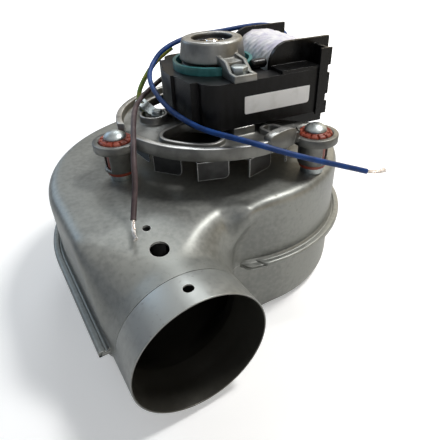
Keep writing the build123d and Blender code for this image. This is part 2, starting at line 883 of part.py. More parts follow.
shading_leg = degrees(shading_sheet / shading_radius)
shading_near = shading_radius - shading_sheet / 2
shading_far = shading_radius + shading_sheet / 2
shading_bars = []
shading_eyes = []
for angle in shading_angles:
    start = angle + motor_turn
    shading_bars.append(arc_sector(shading_near, shading_far, start, shading_sweep))
    eye_sweep = shading_sweep - 2 * shading_leg
    shading_eyes.append(arc_sector(shading_near - wall, shading_far + wall, start + shading_leg, eye_sweep))

with BuildPart() as shading_rings:
    with BuildSketch(Plane.XY.offset(stack_bottom)):
        for bar in shading_bars:
            add(bar)
    extrude(amount=stack_height)
    with BuildSketch(Plane.XY.offset(stack_bottom + shading_sheet)):
        for eye in shading_eyes:
            add(eye)
    extrude(amount=stack_height - 2 * shading_sheet, mode=Mode.SUBTRACT)
shading_rings.part.label = "shading_rings"
export_step(shading_rings.part, "parts/shading_rings.step")

with BuildPart() as stator_stack:
    with BuildSketch(motor_plane(stack_bottom)):
        with BuildLine():
            Line((stack_right, 0), (stack_right, -stack_half_width))
            Line((stack_right, -stack_half_width), (column_x, -stack_half_width))
            column = CenterArc((column_x, column_radius - stack_half_width), column_radius, 270, -90)
            Polyline(
                column @ 1,
                (column_x - column_radius, -shoulder_y),
                (shoulder_x, -shoulder_y),
                (stack_left, -rib_zone),
                (stack_left - rib_proud, -rib_zone),
                (stack_left - rib_proud, 0),
            )
            mirror(about=Plane.XZ)
        make_face()
        Circle(bore_radius, mode=Mode.SUBTRACT)
        with Locations(((window_left + stack_right + limb_width) / 2, 0)):
            Rectangle(stack_right + limb_width - window_left, 2 * limb_inner, mode=Mode.SUBTRACT)
        with Locations((motor_screw_x, motor_screw_y), (motor_screw_x, -motor_screw_y)):
            Circle(motor_screw_radius + fit, mode=Mode.SUBTRACT)
    extrude(amount=stack_height)
    add(shading_rings.part, mode=Mode.SUBTRACT)
stator_stack.part.label = "stator_stack"
export_step(stator_stack.part, "parts/stator_stack.step")

with BuildPart() as coil_core:
    with BuildSketch(motor_plane(stack_bottom)):
        with Locations((core_middle, 0)):
            Rectangle(core_right - core_left, 2 * limb_inner)
    extrude(amount=stack_height)
coil_core.part.label = "coil_core"
export_step(coil_core.part, "parts/coil_core.step")

# Coil: bobbin with two flanges and a terminal plate, copper winding and tape

flange_middle = ((flange_left + flange_right) / 2, (flange_bottom + flange_top) / 2)
flange_size = (flange_right - flange_left, flange_top - flange_bottom)
tube_size = (core_right - core_left + 2 * tube_wall, stack_height + 2 * tube_wall)
winding_size = (flange_size[0] - 2 * winding_inset, flange_size[1] - 2 * winding_inset)
wrap_size = (winding_size[0] + 2 * wrap_sheet, winding_size[1] + 2 * wrap_sheet)
plate_front = stack_half_width + plate_sheet
plate_root = winding_end + flange_thickness / 2
tray_root = flange_face - flange_thickness / 2

with BuildPart() as coil_bobbin:
    for across in (-winding_end, flange_face):
        with BuildSketch(motor_upright(across)):
            with Locations(flange_middle):
                flange = Rectangle(*flange_size)
            left_side, right_side = flange.vertices().group_by(Axis.X)
            fillet(left_side.sort_by(Axis.Y)[-1], flange_big_corner)
            fillet([left_side.sort_by(Axis.Y)[0]] + list(right_side), flange_small_corner)
        extrude(amount=flange_thickness)
    with BuildSketch(motor_upright(-winding_end)):
        with Locations((core_middle, core_height)):
            Rectangle(*tube_size)
    extrude(amount=-2 * winding_end)
    with BuildSketch(motor_plane(stack_top)):
        tray_middle = ((tray_left + tray_right) / 2, (tray_root + stack_half_width) / 2)
        with Locations(tray_middle, (tray_middle[0], -tray_middle[1])):
            Rectangle(tray_right - tray_left, stack_half_width - tray_root)
    extrude(amount=tray_sheet)
    with BuildSketch(motor_upright(-stack_half_width)):
        with Locations(((plate_left + plate_right) / 2, (plate_top + plate_bottom) / 2)):
            Rectangle(plate_right - plate_left, plate_top - plate_bottom)
        with Locations(*[(plate_right, stack_bottom + lift) for lift in plate_notch_lifts]):
            Rectangle(2 * plate_notch_depth, plate_notch_height, mode=Mode.SUBTRACT)
        with Locations(*[(plate_right - plate_notch_depth, stack_bottom + lift) for lift in pin_hole_lifts]):
            Circle(pin_hole_radius, mode=Mode.SUBTRACT)
    extrude(amount=plate_sheet)
    with BuildSketch(motor_plane(plate_bottom)):
        with Locations((stack_right + flange_gap + plate_wall / 2, -(plate_root + plate_front) / 2)):
            Rectangle(plate_wall, plate_front - plate_root)
    extrude(amount=plate_top - plate_bottom)
    with BuildSketch(motor_upright(-flange_face)):
        with Locations((core_middle, core_height)):
            Rectangle(core_right - core_left, stack_height)
    extrude(amount=-2 * flange_face, mode=Mode.SUBTRACT)
coil_bobbin.part.label = "coil_bobbin"
export_step(coil_bobbin.part, "parts/coil_bobbin.step")

with BuildPart() as coil_winding:
    with BuildSketch(motor_upright(-winding_end)):
        with Locations(flange_middle):
            RectangleRounded(*winding_size, winding_corner)
        with Locations((core_middle, core_height)):
            Rectangle(*tube_size, mode=Mode.SUBTRACT)
    extrude(amount=-2 * winding_end)
coil_winding.part.label = "coil_winding"
export_step(coil_winding.part, "parts/coil_winding.step")

with BuildPart() as coil_wrap:
    with BuildSketch(motor_upright(-winding_end)):
        with Locations(flange_middle):
            RectangleRounded(*wrap_size, winding_corner + wrap_sheet)
            RectangleRounded(*winding_size, winding_corner, mode=Mode.SUBTRACT)
    extrude(amount=-2 * winding_end)
coil_wrap.part.label = "coil_wrap"
export_step(coil_wrap.part, "parts/coil_wrap.step")

with BuildPart() as air_gap_ring:
    with BuildSketch(Plane.XY.offset(stack_top)):
        Circle(air_ring_radius)
        Circle(air_ring_radius - air_ring_wall, mode=Mode.SUBTRACT)
    extrude(amount=air_ring_height)
air_gap_ring.part.label = "air_gap_ring"
export_step(air_gap_ring.part, "parts/air_gap_ring.step")

# Top bearing bracket: dome with a spring clip in its recess, on two channel arms

arm_left = motor_screw_x - channel_width / 2
arm_root = recess_radius + channel_wall
lip_top = stack_top + channel_lip_height

with BuildPart() as top_bearing_bracket:
    for side in (arm_left, arm_left + channel_width - channel_wall):
        with BuildSketch(motor_side(side)):
            with BuildLine():
                Polyline(
                    (channel_reach, stack_top),
                    (channel_reach, lip_top),
                    (channel_reach - 0.4 * channel_foot, lip_top),
                    (channel_reach - 0.8 * channel_foot, channel_crest),
                    (arm_root, channel_crest + channel_wall / 2),
                    (arm_root, dome_bottom),
                    (foot_inner, dome_bottom),
                    (foot_inner, stack_top),
                    (channel_reach, stack_top),
                )
            make_face()
        extrude(amount=channel_wall)
    with BuildSketch(motor_side(arm_left)):
        with BuildLine():
            Polyline(
                (channel_reach, stack_top),
                (channel_reach, lip_top),
                (channel_reach - channel_lip, lip_top),
                (channel_reach - channel_lip, channel_top),
                (foot_inner + channel_floor, channel_top),
                (foot_inner + channel_floor, dome_bottom + channel_floor),
                (arm_root, dome_bottom + channel_floor),
                (arm_root, dome_bottom),
                (foot_inner, dome_bottom),
                (foot_inner, stack_top),
                (channel_reach, stack_top),
            )
        make_face()
    extrude(amount=channel_width)
    mirror(about=motor_upright(0))
    with BuildSketch(Plane.XZ):
        with BuildLine():
            Polyline(
                (0, dome_bottom),
                (dome_radius, dome_bottom),
                (dome_top_radius, dome_top),
                (0, dome_top),
                (0, dome_bottom),
            )
        make_face()
    revolve(axis=Axis.Z)
    fillet(top_bearing_bracket.edges().group_by(Axis.Z)[-1], dome_edge)
    with BuildSketch(Plane.XY.offset(dome_top)):
        Circle(recess_radius)
    extrude(amount=-recess_depth, mode=Mode.SUBTRACT)
    with BuildSketch(Plane.XY.offset(clip_seat)):
        Circle(bearing_radius)
    extrude(amount=dome_bottom - clip_seat, mode=Mode.SUBTRACT)
    with BuildSketch(Plane.XY.offset(dome_bottom)):
        Circle(felt_radius + fit)
    extrude(amount=upper_bearing_bottom - dome_bottom, mode=Mode.SUBTRACT)
    with BuildSketch(motor_plane(stack_top)):
        with Locations((motor_screw_x, motor_screw_y), (motor_screw_x, -motor_screw_y)):
            Circle(motor_screw_radius + fit)
    extrude(amount=channel_floor, mode=Mode.SUBTRACT)
top_bearing_bracket.part.label = "top_bearing_bracket"
export_step(top_bearing_bracket.part, "parts/top_bearing_bracket.step")

with BuildPart() as motor_screws:
    with BuildSketch(motor_plane(floor_top)):
        with Locations((motor_screw_x, motor_screw_y), (motor_screw_x, -motor_screw_y)):
            Circle(motor_screw_radius)
    extrude(amount=channel_top - floor_top)
    with BuildSketch(motor_plane(channel_top)):
        with Locations((motor_screw_x, motor_screw_y), (motor_screw_x, -motor_screw_y)):
            RegularPolygon(motor_screw_flats / 2, 6, major_radius=False, rotation=30)
    extrude(amount=motor_screw_head)
motor_screws.part.label = "motor_screws"
export_step(motor_screws.part, "parts/motor_screws.step")

# Bearings, felts and clips

upper_bush = round_ring(upper_bearing_bottom, clip_seat, bearing_radius, shaft_hole)
lower_bush = round_ring(lower_bearing_bottom, lower_bearing_top, bearing_radius, shaft_hole)
upper_oil_ring = round_ring(upper_bearing_bottom - felt_height, upper_bearing_bottom, felt_radius, clip_eye)
lower_oil_ring = round_ring(lower_bearing_top - felt_height, lower_bearing_top, felt_radius, bearing_radius)
upper_star = star_clip(clip_seat)
lower_star = star_clip(lower_bearing_top)

with BuildPart() as upper_bearing:
    add(upper_bush)
upper_bearing.part.label = "upper_bearing"
export_step(upper_bearing.part, "parts/upper_bearing.step")

with BuildPart() as lower_bearing:
    add(lower_bush)
lower_bearing.part.label = "lower_bearing"
export_step(lower_bearing.part, "parts/lower_bearing.step")

with BuildPart() as upper_felt:
    add(upper_oil_ring)
upper_felt.part.label = "upper_felt"
export_step(upper_felt.part, "parts/upper_felt.step")

with BuildPart() as lower_felt:
    add(lower_oil_ring)
lower_felt.part.label = "lower_felt"
export_step(lower_felt.part, "parts/lower_felt.step")

with BuildPart() as bearing_clip_upper:
    add(upper_star)
bearing_clip_upper.part.label = "bearing_clip_upper"
export_step(bearing_clip_upper.part, "parts/bearing_clip_upper.step")

with BuildPart() as bearing_clip_lower:
    add(lower_star)
bearing_clip_lower.part.label = "bearing_clip_lower"
export_step(bearing_clip_lower.part, "parts/bearing_clip_lower.step")

# Rotor

lower_end_ring = round_ring(stack_bottom - end_ring_height, stack_bottom, end_ring_outer, end_ring_inner)
upper_end_ring = round_ring(stack_top, stack_top + end_ring_height, end_ring_outer, end_ring_inner)
lower_washer = round_ring(lower_bearing_top + washer_gap, stack_bottom, washer_radius, shaft_hole)
upper_washer = round_ring(stack_top, upper_bearing_bottom - washer_gap, washer_radius, shaft_hole)

with BuildPart() as shaft:
    with BuildSketch(Plane.XY.offset(shaft_bottom)):
        Circle(shaft_radius)
    extrude(amount=shaft_top - shaft_bottom)
    chamfer(shaft.edges().group_by(Axis.Z)[-1], shaft_radius / 8)
shaft.part.label = "shaft"
export_step(shaft.part, "parts/shaft.step")

with BuildPart() as rotor_core:
    with BuildSketch(Plane.XY.offset(stack_bottom)):
        Circle(rotor_radius)
        Circle(shaft_hole, mode=Mode.SUBTRACT)
    extrude(amount=stack_height)
rotor_core.part.label = "rotor_core"
export_step(rotor_core.part, "parts/rotor_core.step")

with BuildPart() as rotor_end_rings:
    add(lower_end_ring)
    add(upper_end_ring)
rotor_end_rings.part.label = "rotor_end_rings"
export_step(rotor_end_rings.part, "parts/rotor_end_rings.step")

with BuildPart() as thrust_washers:
    add(lower_washer)
    add(upper_washer)
thrust_washers.part.label = "thrust_washers"
export_step(thrust_washers.part, "parts/thrust_washers.step")

# Cooling fan: flaps bent down from the disc's rim, each turned a little to the rim

flap_angles = [fan_flap_start + index * 360 / fan_flap_count for index in range(fan_flap_count)]

with BuildPart() as cooling_fan:
    with BuildSketch(Plane.XY.offset(fan_disc_bottom)):
        Circle(fan_disc_radius - fan_land_overlap)
        for angle in flap_angles:
            with Locations(Location(polar(fan_disc_radius, angle), (0, 0, angle + fan_flap_pitch))):
                with Locations((-fan_land / 2, 0)):
                    Rectangle(fan_land, fan_flap_length)
        Circle(shaft_hole, mode=Mode.SUBTRACT)
    extrude(amount=fan_sheet)
    for angle in flap_angles:
        with BuildSketch(tangent_plane(angle, fan_disc_radius, fan_flap_bottom, fan_flap_pitch)):
            with Locations((0, fan_flap_height / 2)):
                flap = Rectangle(fan_flap_length, fan_flap_height)
            fillet(flap.vertices().group_by(Axis.Y)[0].sort_by(Axis.X)[-1], fan_flap_corner)
        extrude(amount=-fan_sheet)
cooling_fan.part.label = "cooling_fan"
export_step(cooling_fan.part, "parts/cooling_fan.step")

with BuildPart() as cooling_fan_hub:
    with BuildSketch(Plane.XY.offset(fan_disc_bottom)):
        Circle(fan_hub_radius)
        Circle(shaft_hole, mode=Mode.SUBTRACT)
    extrude(amount=-fan_hub_height)
cooling_fan_hub.part.label = "cooling_fan_hub"
export_step(cooling_fan_hub.part, "parts/cooling_fan_hub.step")

# Impeller: blades between a backplate and a shroud ring

shroud_top = impeller_bottom + impeller_sheet
blade_inner = impeller_eye + blade_margin
blade_outer = impeller_radius - blade_margin

with BuildPart() as impeller_backplate:
    with BuildSketch(Plane.XY.offset(backplate_bottom)):
        Circle(impeller_radius)
        Circle(shaft_hole, mode=Mode.SUBTRACT)
    extrude(amount=impeller_sheet)
impeller_backplate.part.label = "impeller_backplate"
export_step(impeller_backplate.part, "parts/impeller_backplate.step")

with BuildPart() as impeller_shroud:
    with BuildSketch(Plane.XY.offset(impeller_bottom)):
        Circle(impeller_radius)
        Circle(impeller_eye, mode=Mode.SUBTRACT)
    extrude(amount=impeller_sheet)
impeller_shroud.part.label = "impeller_shroud"
export_step(impeller_shroud.part, "parts/impeller_shroud.step")

with BuildPart() as impeller_blades:
    with BuildSketch(Plane.XY.offset(shroud_top)):
        for index in range(blade_count):
            angle = index * 360 / blade_count
            with BuildLine():
                ThreePointArc(
                    polar(blade_inner, angle),
                    polar((blade_inner + blade_outer) / 2, angle + blade_lean / 2 + blade_hollow),
                    polar(blade_outer, angle + blade_lean),
                )
            trace(line_width=blade_sheet)
    extrude(amount=backplate_bottom - shroud_top)
impeller_blades.part.label = "impeller_blades"
export_step(impeller_blades.part, "parts/impeller_blades.step")

with BuildPart() as impeller_hub:
    with BuildSketch(Plane.XY.offset(impeller_hub_bottom)):
        Circle(impeller_hub_radius)
        Circle(shaft_hole, mode=Mode.SUBTRACT)
    extrude(amount=impeller_hub_height)
impeller_hub.part.label = "impeller_hub"
export_step(impeller_hub.part, "parts/impeller_hub.step")

with BuildPart() as impeller_nut:
    with BuildSketch(Plane.XY.offset(impeller_hub_bottom)):
        RegularPolygon(impeller_nut_flats / 2, 6, major_radius=False)
        Circle(shaft_hole, mode=Mode.SUBTRACT)
    extrude(amount=-impeller_nut_height)
impeller_nut.part.label = "impeller_nut"
export_step(impeller_nut.part, "parts/impeller_nut.step")

# Leads and their bare ends

blue_tube = lead_tube(blue_route, lead_radius)
brown_tube = lead_tube(brown_route, lead_radius)
earth_tube = lead_tube(earth_route, lead_radius)
blue_end = bare_end(blue_route, blue_tip)
brown_end = bare_end(brown_route, brown_tip)

with BuildPart() as lead_blue:
    add(blue_tube)
lead_blue.part.label = "lead_blue"
export_step(lead_blue.part, "parts/lead_blue.step")

with BuildPart() as lead_brown:
    add(brown_tube)
lead_brown.part.label = "lead_brown"
export_step(lead_brown.part, "parts/lead_brown.step")

with BuildPart() as lead_earth:
    add(earth_tube)
lead_earth.part.label = "lead_earth"
export_step(lead_earth.part, "parts/lead_earth.step")

with BuildPart() as lead_ends:
    add(blue_end)
    add(brown_end)
lead_ends.part.label = "lead_ends"
export_step(lead_ends.part, "parts/lead_ends.step")
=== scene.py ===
"""Looks of a boiler fan: a sheet steel volute, a cast motor bracket and a shaded-pole motor on it.

Sizes are in millimetres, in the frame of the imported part, and turn into metres where a mesh is made.
"""

from __future__ import annotations

import logging
from dataclasses import dataclass, field
from enum import Enum
from math import cos, pi, radians, sin
from typing import Callable, Mapping, Sequence

import bmesh
import bpy
import numpy as np
from mathutils import Matrix, Vector
from numpy.typing import NDArray


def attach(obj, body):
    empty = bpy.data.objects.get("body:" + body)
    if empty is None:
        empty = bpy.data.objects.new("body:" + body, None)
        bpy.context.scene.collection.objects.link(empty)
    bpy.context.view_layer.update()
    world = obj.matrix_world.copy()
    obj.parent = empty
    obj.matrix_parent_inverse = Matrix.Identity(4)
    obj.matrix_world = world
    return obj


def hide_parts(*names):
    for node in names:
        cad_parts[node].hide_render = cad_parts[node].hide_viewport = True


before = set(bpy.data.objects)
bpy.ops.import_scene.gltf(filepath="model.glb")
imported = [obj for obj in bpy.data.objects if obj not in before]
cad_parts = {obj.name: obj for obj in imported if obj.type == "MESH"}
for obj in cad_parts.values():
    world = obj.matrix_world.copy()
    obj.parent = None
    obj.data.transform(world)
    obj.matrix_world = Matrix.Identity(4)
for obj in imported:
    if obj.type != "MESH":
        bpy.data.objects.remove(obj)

logging.basicConfig(level=logging.INFO, format="%(name)s: %(message)s")
log = logging.getLogger("boiler_fan")

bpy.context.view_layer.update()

MM = 0.001
HALVINGS = 40
HOUSING = "housing"
INNER = "inner"
RAYS = ("Is Camera Ray", "Is Glossy Ray", "Is Transmission Ray")
Array = NDArray[np.float64]
Colour = tuple[float, float, float]
Place = tuple[float, float, float]
Piece = bpy.types.Object
Material = bpy.types.Material


class Half(Enum):
    """Halves of the volute, by the way they rise from the seam."""

    UPPER = 1
    LOWER = -1


# Shader expressions


class Wire:
    """A shader socket that can stand in a Python expression."""

    def __init__(self, graph: Graph, socket: bpy.types.NodeSocket) -> None:
        """Keeps the graph and the output socket."""
        self.graph = graph
        self.socket = socket

    def maths(self, operation: str, left: Wire | float, right: Wire | float) -> Wire:
        """Result of one Math node with two values."""
        return self.graph.make("ShaderNodeMath", {"operation": operation}, {0: left, 1: right})

    def __add__(self, other: Wire | float) -> Wire:
        """Sum."""
        return self.maths("ADD", self, other)

    __radd__ = __add__

    def __mul__(self, other: Wire | float) -> Wire:
        """Product."""
        return self.maths("MULTIPLY", self, other)

    def __sub__(self, other: Wire | float) -> Wire:
        """Difference."""
        return self.maths("SUBTRACT", self, other)

    def __rsub__(self, other: Wire | float) -> Wire:
        """Difference with this value taken away."""
        return self.maths("SUBTRACT", other, self)

    def __pow__(self, other: Wire | float) -> Wire:
        """Power."""
        return self.maths("POWER", self, other)

    def sine(self) -> Wire:
        """Sine of an angle in radians."""
        return self.maths("SINE", self, 0.0)

    def step(self, low: float, high: float) -> Wire:
        """Smooth step from 0 at low to 1 at high."""
        settings = {"interpolation_type": "SMOOTHSTEP"}
        return self.graph.make("ShaderNodeMapRange", settings, {0: self, 1: low, 2: high})


class Graph:
    """The nodes of one world or material."""

    def __init__(self, owner: bpy.types.World | Material) -> None:
        """Keeps the node tree of its owner."""
        owner.use_nodes = True
        self.tree = owner.node_tree

    def make(
        self,
        kind: str,
        settings: Mapping[str, object] | None = None,
        sockets: Mapping[int | str, object] | None = None,
        out: int | str = 0,
    ) -> Wire:
        """Adds one node.

        Args:
            kind: The node's type.
            settings: Its settings, set before its inputs.
            sockets: Values or wires of its inputs.
            out: Name or number of the output.

        Returns:
            The output as a wire.
        """
        node = self.tree.nodes.new(kind)
        for name, value in (settings or {}).items():
            setattr(node, name, value)
        for key, value in (sockets or {}).items():
            if isinstance(value, Wire):
                self.tree.links.new(value.socket, node.inputs[key])
            else:
                node.inputs[key].default_value = value
        return Wire(self, node.outputs[out])

    def axes(self, vector: Wire) -> tuple[Wire, ...]:
        """Three parts of a vector."""
        node = self.make("ShaderNodeSeparateXYZ", None, {0: vector}).socket.node
        return tuple(Wire(self, output) for output in node.outputs)

    def rays(self) -> tuple[Wire, ...]:
        """Masks of rays that come from the camera, by a reflection and through a clear piece."""
        node = self.make("ShaderNodeLightPath").socket.node
        return tuple(Wire(self, node.outputs[name]) for name in RAYS)

    def mix(self, low: Wire | Colour, high: Wire | Colour, factor: Wire | float) -> Wire:
        """Colour between a first one at factor 0 and a second one at factor 1."""
        ends = [value if isinstance(value, Wire) else (*value, 1.0) for value in (low, high)]
        return self.make("ShaderNodeMix", {"data_type": "RGBA"}, {0: factor, 6: ends[0], 7: ends[1]}, 2)


class Finish(Graph):
    """One material with a Principled shader."""

    def __init__(self, name: str) -> None:
        """Makes the material."""
        self.material = bpy.data.materials.new(name)
        super().__init__(self.material)
        self.shader = self.tree.nodes["Principled BSDF"]
        self.place = self.make("ShaderNodeTexCoord", out="Object")

    def noise(self, size: float, detail: float = 2.0, stretch: Place = (1, 1, 1)) -> Wire:
        """Cloud of values about 0.5, of a width in millimetres, with octaves and a factor on each axis."""
        place = self.make("ShaderNodeVectorMath", {"operation": "MULTIPLY"}, {0: self.place, 1: stretch})
        sockets = {"Vector": place, "Scale": 1 / MM / size, "Detail": detail}
        return self.make("ShaderNodeTexNoise", None, sockets)

    def facing(self) -> tuple[Wire, Wire, Wire]:
        """Three parts of the surface's normal."""
        return self.axes(self.make("ShaderNodeNewGeometry", out="Normal"))

    def edge(self, width: float) -> Wire:
        """Mask of edges: how far the rounded normal turns from the flat one, over a width in millimetres."""
        sockets = {0: self.make("ShaderNodeNewGeometry", out="Normal"), 1: self.rounded(width)}
        dot = self.make("ShaderNodeVectorMath", {"operation": "DOT_PRODUCT"}, sockets, 1)
        return (1 - dot).step(0.015, 0.2)

    def bump(self, height: Wire, depth: float, below: Wire | None = None) -> Wire:
        """Bumped normal.

        Args:
            height: Height from 0 to 1.
            depth: Millimetres between 0 and 1.
            below: Normal that is bumped already.

        Returns:
            The normal.
        """
        sockets = {"Strength": 1.0, "Distance": depth * MM, "Height": height}
        if below is not None:
            sockets["Normal"] = below
        return self.make("ShaderNodeBump", None, sockets)

    def rounded(self, radius: float) -> Wire:
        """Normal that rounds off each edge by a radius in millimetres."""
        return self.make("ShaderNodeBevel", {"samples": 6}, {"Radius": radius * MM})

    def finish(self, **sockets: object) -> Material:
        """Sets the shader's sockets, named with underscores for spaces.

        Args:
            sockets: Values or wires.

        Returns:
            The material.
        """
        for name, value in sockets.items():
            socket = self.shader.inputs[name.replace("_", " ")]
            if isinstance(value, Wire):
                self.tree.links.new(value.socket, socket)
            elif isinstance(value, tuple):
                socket.default_value = (*value, 1.0)
            else:
                socket.default_value = value
        return self.material


# Finishes


@dataclass(frozen=True)
class Metal:
    """Metal with clouds of tone, a fine grain and rounded edges, which may be lightened as wear and painted
    highlight.
    """

    name: str
    colour: Colour
    shade: Colour
    roughness: float
    metallic: float = 1.0
    cloud: float = 18.0
    grain: float = 0.5
    depth: float = 0.01
    edge: float = 0.15
    stretch: Place = (1.0, 1.0, 1.0)
    # worn: colour of the lightened edges, partly worn bare metal, partly a painted highlight
    worn: Colour = (0.75, 0.75, 0.75)
    edge_wear_and_highlight_width: float = 0.0

    def material(self) -> Material:
        """Clouds blend two tones, and they also move the roughness up and down; edges are lightened as wear
        and painted highlight.
        """
        graph = Finish(self.name)
        cloud = graph.noise(self.cloud, 4.0)
        grain = graph.noise(self.grain, 3.0, self.stretch)
        tone = graph.mix(self.shade, self.colour, cloud.step(0.35, 0.65))
        # Edges lightened: partly wear, partly a painted highlight that stands in for light on them
        if self.edge_wear_and_highlight_width > 0:
            tone = graph.mix(tone, self.worn, graph.edge(self.edge_wear_and_highlight_width))
        rough = self.roughness + (grain - 0.5) * 0.25 + (cloud - 0.5) * 0.15
        normal = graph.bump(grain, self.depth, graph.rounded(self.edge))
        return graph.finish(Base_Color=tone, Metallic=self.metallic, Roughness=rough, Normal=normal)


@dataclass(frozen=True)
class CoatedSheet:
    """Coated sheet steel: satin, mottled, with rolling lines and fine dirt, edges lightened as wear and
    painted highlight.
    """

    name: str = "satin sheet"
    colour: Colour = (0.285, 0.292, 0.272)
    shade: Colour = (0.20, 0.206, 0.196)
    # Colour that darkens the inside of the sheet: painted shade
    painted_inside_shade: Colour = (0.055, 0.052, 0.043)
    # worn: colour of the lightened edges, partly wear, partly a painted highlight
    worn: Colour = (0.62, 0.62, 0.59)
    roughness: float = 0.42

    def material(self) -> Material:
        """Clouds set the tone under dark flecks and fine pits; edges get wear and painted highlight, the
        inside painted shade.
        """
        graph = Finish(self.name)
        cloud = graph.noise(45.0, 4.0)
        mottle = graph.noise(2.2, 4.0)
        grain = graph.noise(0.35, 2.0)
        roll = graph.noise(1.2, 3.0, (1.0, 0.06, 1.0))
        fleck = graph.noise(1.6, 3.0).step(0.66, 0.74)
        tone = graph.mix(self.shade, self.colour, (cloud * 0.6 + mottle * 0.4).step(0.36, 0.62))
        tone = graph.mix(tone, (0.16, 0.15, 0.13), fleck * 0.35)
        # Edges lightened: partly wear, partly a painted highlight
        tone = graph.mix(tone, self.worn, graph.edge(0.45) * 0.8)
        # The inside of the sheet is darkened: painted shade where little light reaches
        inner = graph.make("ShaderNodeAttribute", {"attribute_name": INNER}, out="Fac")
        tone = graph.mix(tone, self.painted_inside_shade, inner * (0.8 + cloud * 0.3).step(0.5, 1.0))
        rough = self.roughness + (mottle - 0.5) * 0.22 + (cloud - 0.5) * 0.16 + fleck * 0.1
        normal = graph.bump(mottle * 0.5 + roll * 0.3, 0.03, graph.bump(grain, 0.006))
        return graph.finish(Base_Color=tone, Metallic=0.55, Roughness=rough, Normal=normal)


@dataclass(frozen=True)
class CastAluminium:
    """Die-cast aluminium: matt skin with pores, brighter faces where it is machined, edges lightened as wear
    and painted highlight.
    """

    name: str
    colour: Colour = (0.21, 0.21, 0.197)
    shade: Colour = (0.13, 0.13, 0.122)
    bright: Colour = (0.62, 0.62, 0.60)
    top: float = 94.0
    well: float = 0.0
    # Colour of the painted shade in the well round the clip
    painted_well_shade: Colour = (0.035, 0.034, 0.032)
    roughness: float = 0.45

    def material(self) -> Material:
        """Tops near the machined height are bright, the rest is clouded; edges get a painted highlight, a
        well below painted shade.
        """
        graph = Finish(self.name)
        across, along, height = graph.axes(graph.place)
        up = graph.facing()[2]
        cloud = graph.noise(9.0, 4.0)
        pores = graph.noise(0.6, 3.0)
        machined = up.step(0.75, 0.98) * height.step((self.top - 4.6) * MM, (self.top - 0.4) * MM)
        tone = graph.mix(self.shade, self.colour, cloud.step(0.35, 0.65))
        tone = graph.mix(tone, self.bright, machined * (0.55 + cloud * 0.6).step(0.6, 0.95))
        # Edges lightened: partly wear, partly a painted highlight
        tone = graph.mix(tone, self.bright, graph.edge(0.5) * 0.6)
        # A well below the top is darkened: painted shade
        if self.well > 0:
            reach = (across * across + along * along) ** 0.5
            inside = reach.step((self.well + 0.3) * MM, (self.well - 0.3) * MM)
            well_shade_mask = inside * height.step((self.top - 0.4) * MM, (self.top - 1.2) * MM)
            tone = graph.mix(tone, self.painted_well_shade, well_shade_mask * (0.7 + cloud * 0.5).step(0.4, 1.0))
        rough = self.roughness + (pores - 0.5) * 0.3 - machined * 0.12
        normal = graph.bump(pores * 0.6 + cloud * 0.4, 0.06, graph.rounded(0.45))
        return graph.finish(Base_Color=tone, Metallic=0.9, Roughness=rough, Normal=normal)


@dataclass(frozen=True)
class Varnish:
    """Black varnish on a stack of steel sheets: fine lines at the sheets' pitch on the upright faces."""

    name: str = "varnished laminations"
    colour: Colour = (0.003, 0.003, 0.003)
    shade: Colour = (0.008, 0.008, 0.009)
    pitch: float = 0.65

    def material(self) -> Material:
        """The lines are a sine of the height, weakened by clouds and left out on the flat ends."""
        graph = Finish(self.name)
        height = graph.axes(graph.place)[2]
        up = graph.facing()[2]
        lines = (height * (2 * pi / (self.pitch * MM))).sine() * 0.5 + 0.5
        cloud = graph.noise(7.0, 4.0)
        drip = graph.noise(2.5, 3.0, (1.0, 1.0, 0.15))
        tone = graph.mix(self.colour, self.shade, (cloud * 0.5 + drip * 0.5).step(0.4, 0.65))
        side = 1 - (up * up).step(0.2, 0.6)
        rough = 0.22 + cloud * 0.16 + drip * 0.08
        normal = graph.bump(lines * side * (0.3 + cloud * 0.5), 0.05, graph.rounded(0.35))
        normal = graph.bump(graph.noise(1.0, 2.0), 0.02, normal)
        return graph.finish(Base_Color=tone, Roughness=rough, Normal=normal, Specular_IOR_Level=0.22)


@dataclass(frozen=True)
class Polymer:
    """Moulded plastic, silicone or laminate: even tone with a fine spark-eroded grain."""

    name: str
    colour: Colour
    shade: Colour
    roughness: float
    grain: float = 0.35
    depth: float = 0.012
    edge: float = 0.25
    gloss: float = 0.5

    def material(self) -> Material:
        """Clouds of dust and rubbing lighten the tone and roughen it a little."""
        graph = Finish(self.name)
        dust = graph.noise(5.0, 5.0)
        grain = graph.noise(self.grain, 2.0)
        tone = graph.mix(self.colour, self.shade, dust.step(0.45, 0.75))
        rough = self.roughness + (dust - 0.5) * 0.25 + (grain - 0.5) * 0.12
        normal = graph.bump(grain, self.depth, graph.rounded(self.edge))
        return graph.finish(Base_Color=tone, Roughness=rough, Normal=normal, Specular_IOR_Level=self.gloss)


@dataclass(frozen=True)
class WoundTape:
    """White woven tape, wound in slanting turns over the copper, with a cool painted shade in the folds."""

    name: str = "wound tape"
    colour: Colour = (0.80, 0.78, 0.80)
    # Cool tone of the painted shade in the folds
    cool: Colour = (0.60, 0.57, 0.68)
    warm: Colour = (0.83, 0.76, 0.72)

    def material(self) -> Material:
        """Stretched clouds make the folds and the painted shade in them; a fine cloud makes the weave."""
        graph = Finish(self.name)
        folds = graph.noise(3.2, 4.0, (1.0, 0.35, 0.55))
        weave = graph.noise(0.3, 2.0)
        wash = graph.noise(16.0, 2.0)
        # Low places of the folds get a cool, darker tone: painted shade
        tone = graph.mix(self.cool, self.colour, folds.step(0.30, 0.60))
        tone = graph.mix(tone, self.warm, wash.step(0.48, 0.7) * 0.6)
        normal = graph.bump(folds, 0.35, graph.bump(weave, 0.04))
        return graph.finish(Base_Color=tone, Roughness=0.62 + folds * 0.15, Normal=normal, Sheen_Weight=0.15)


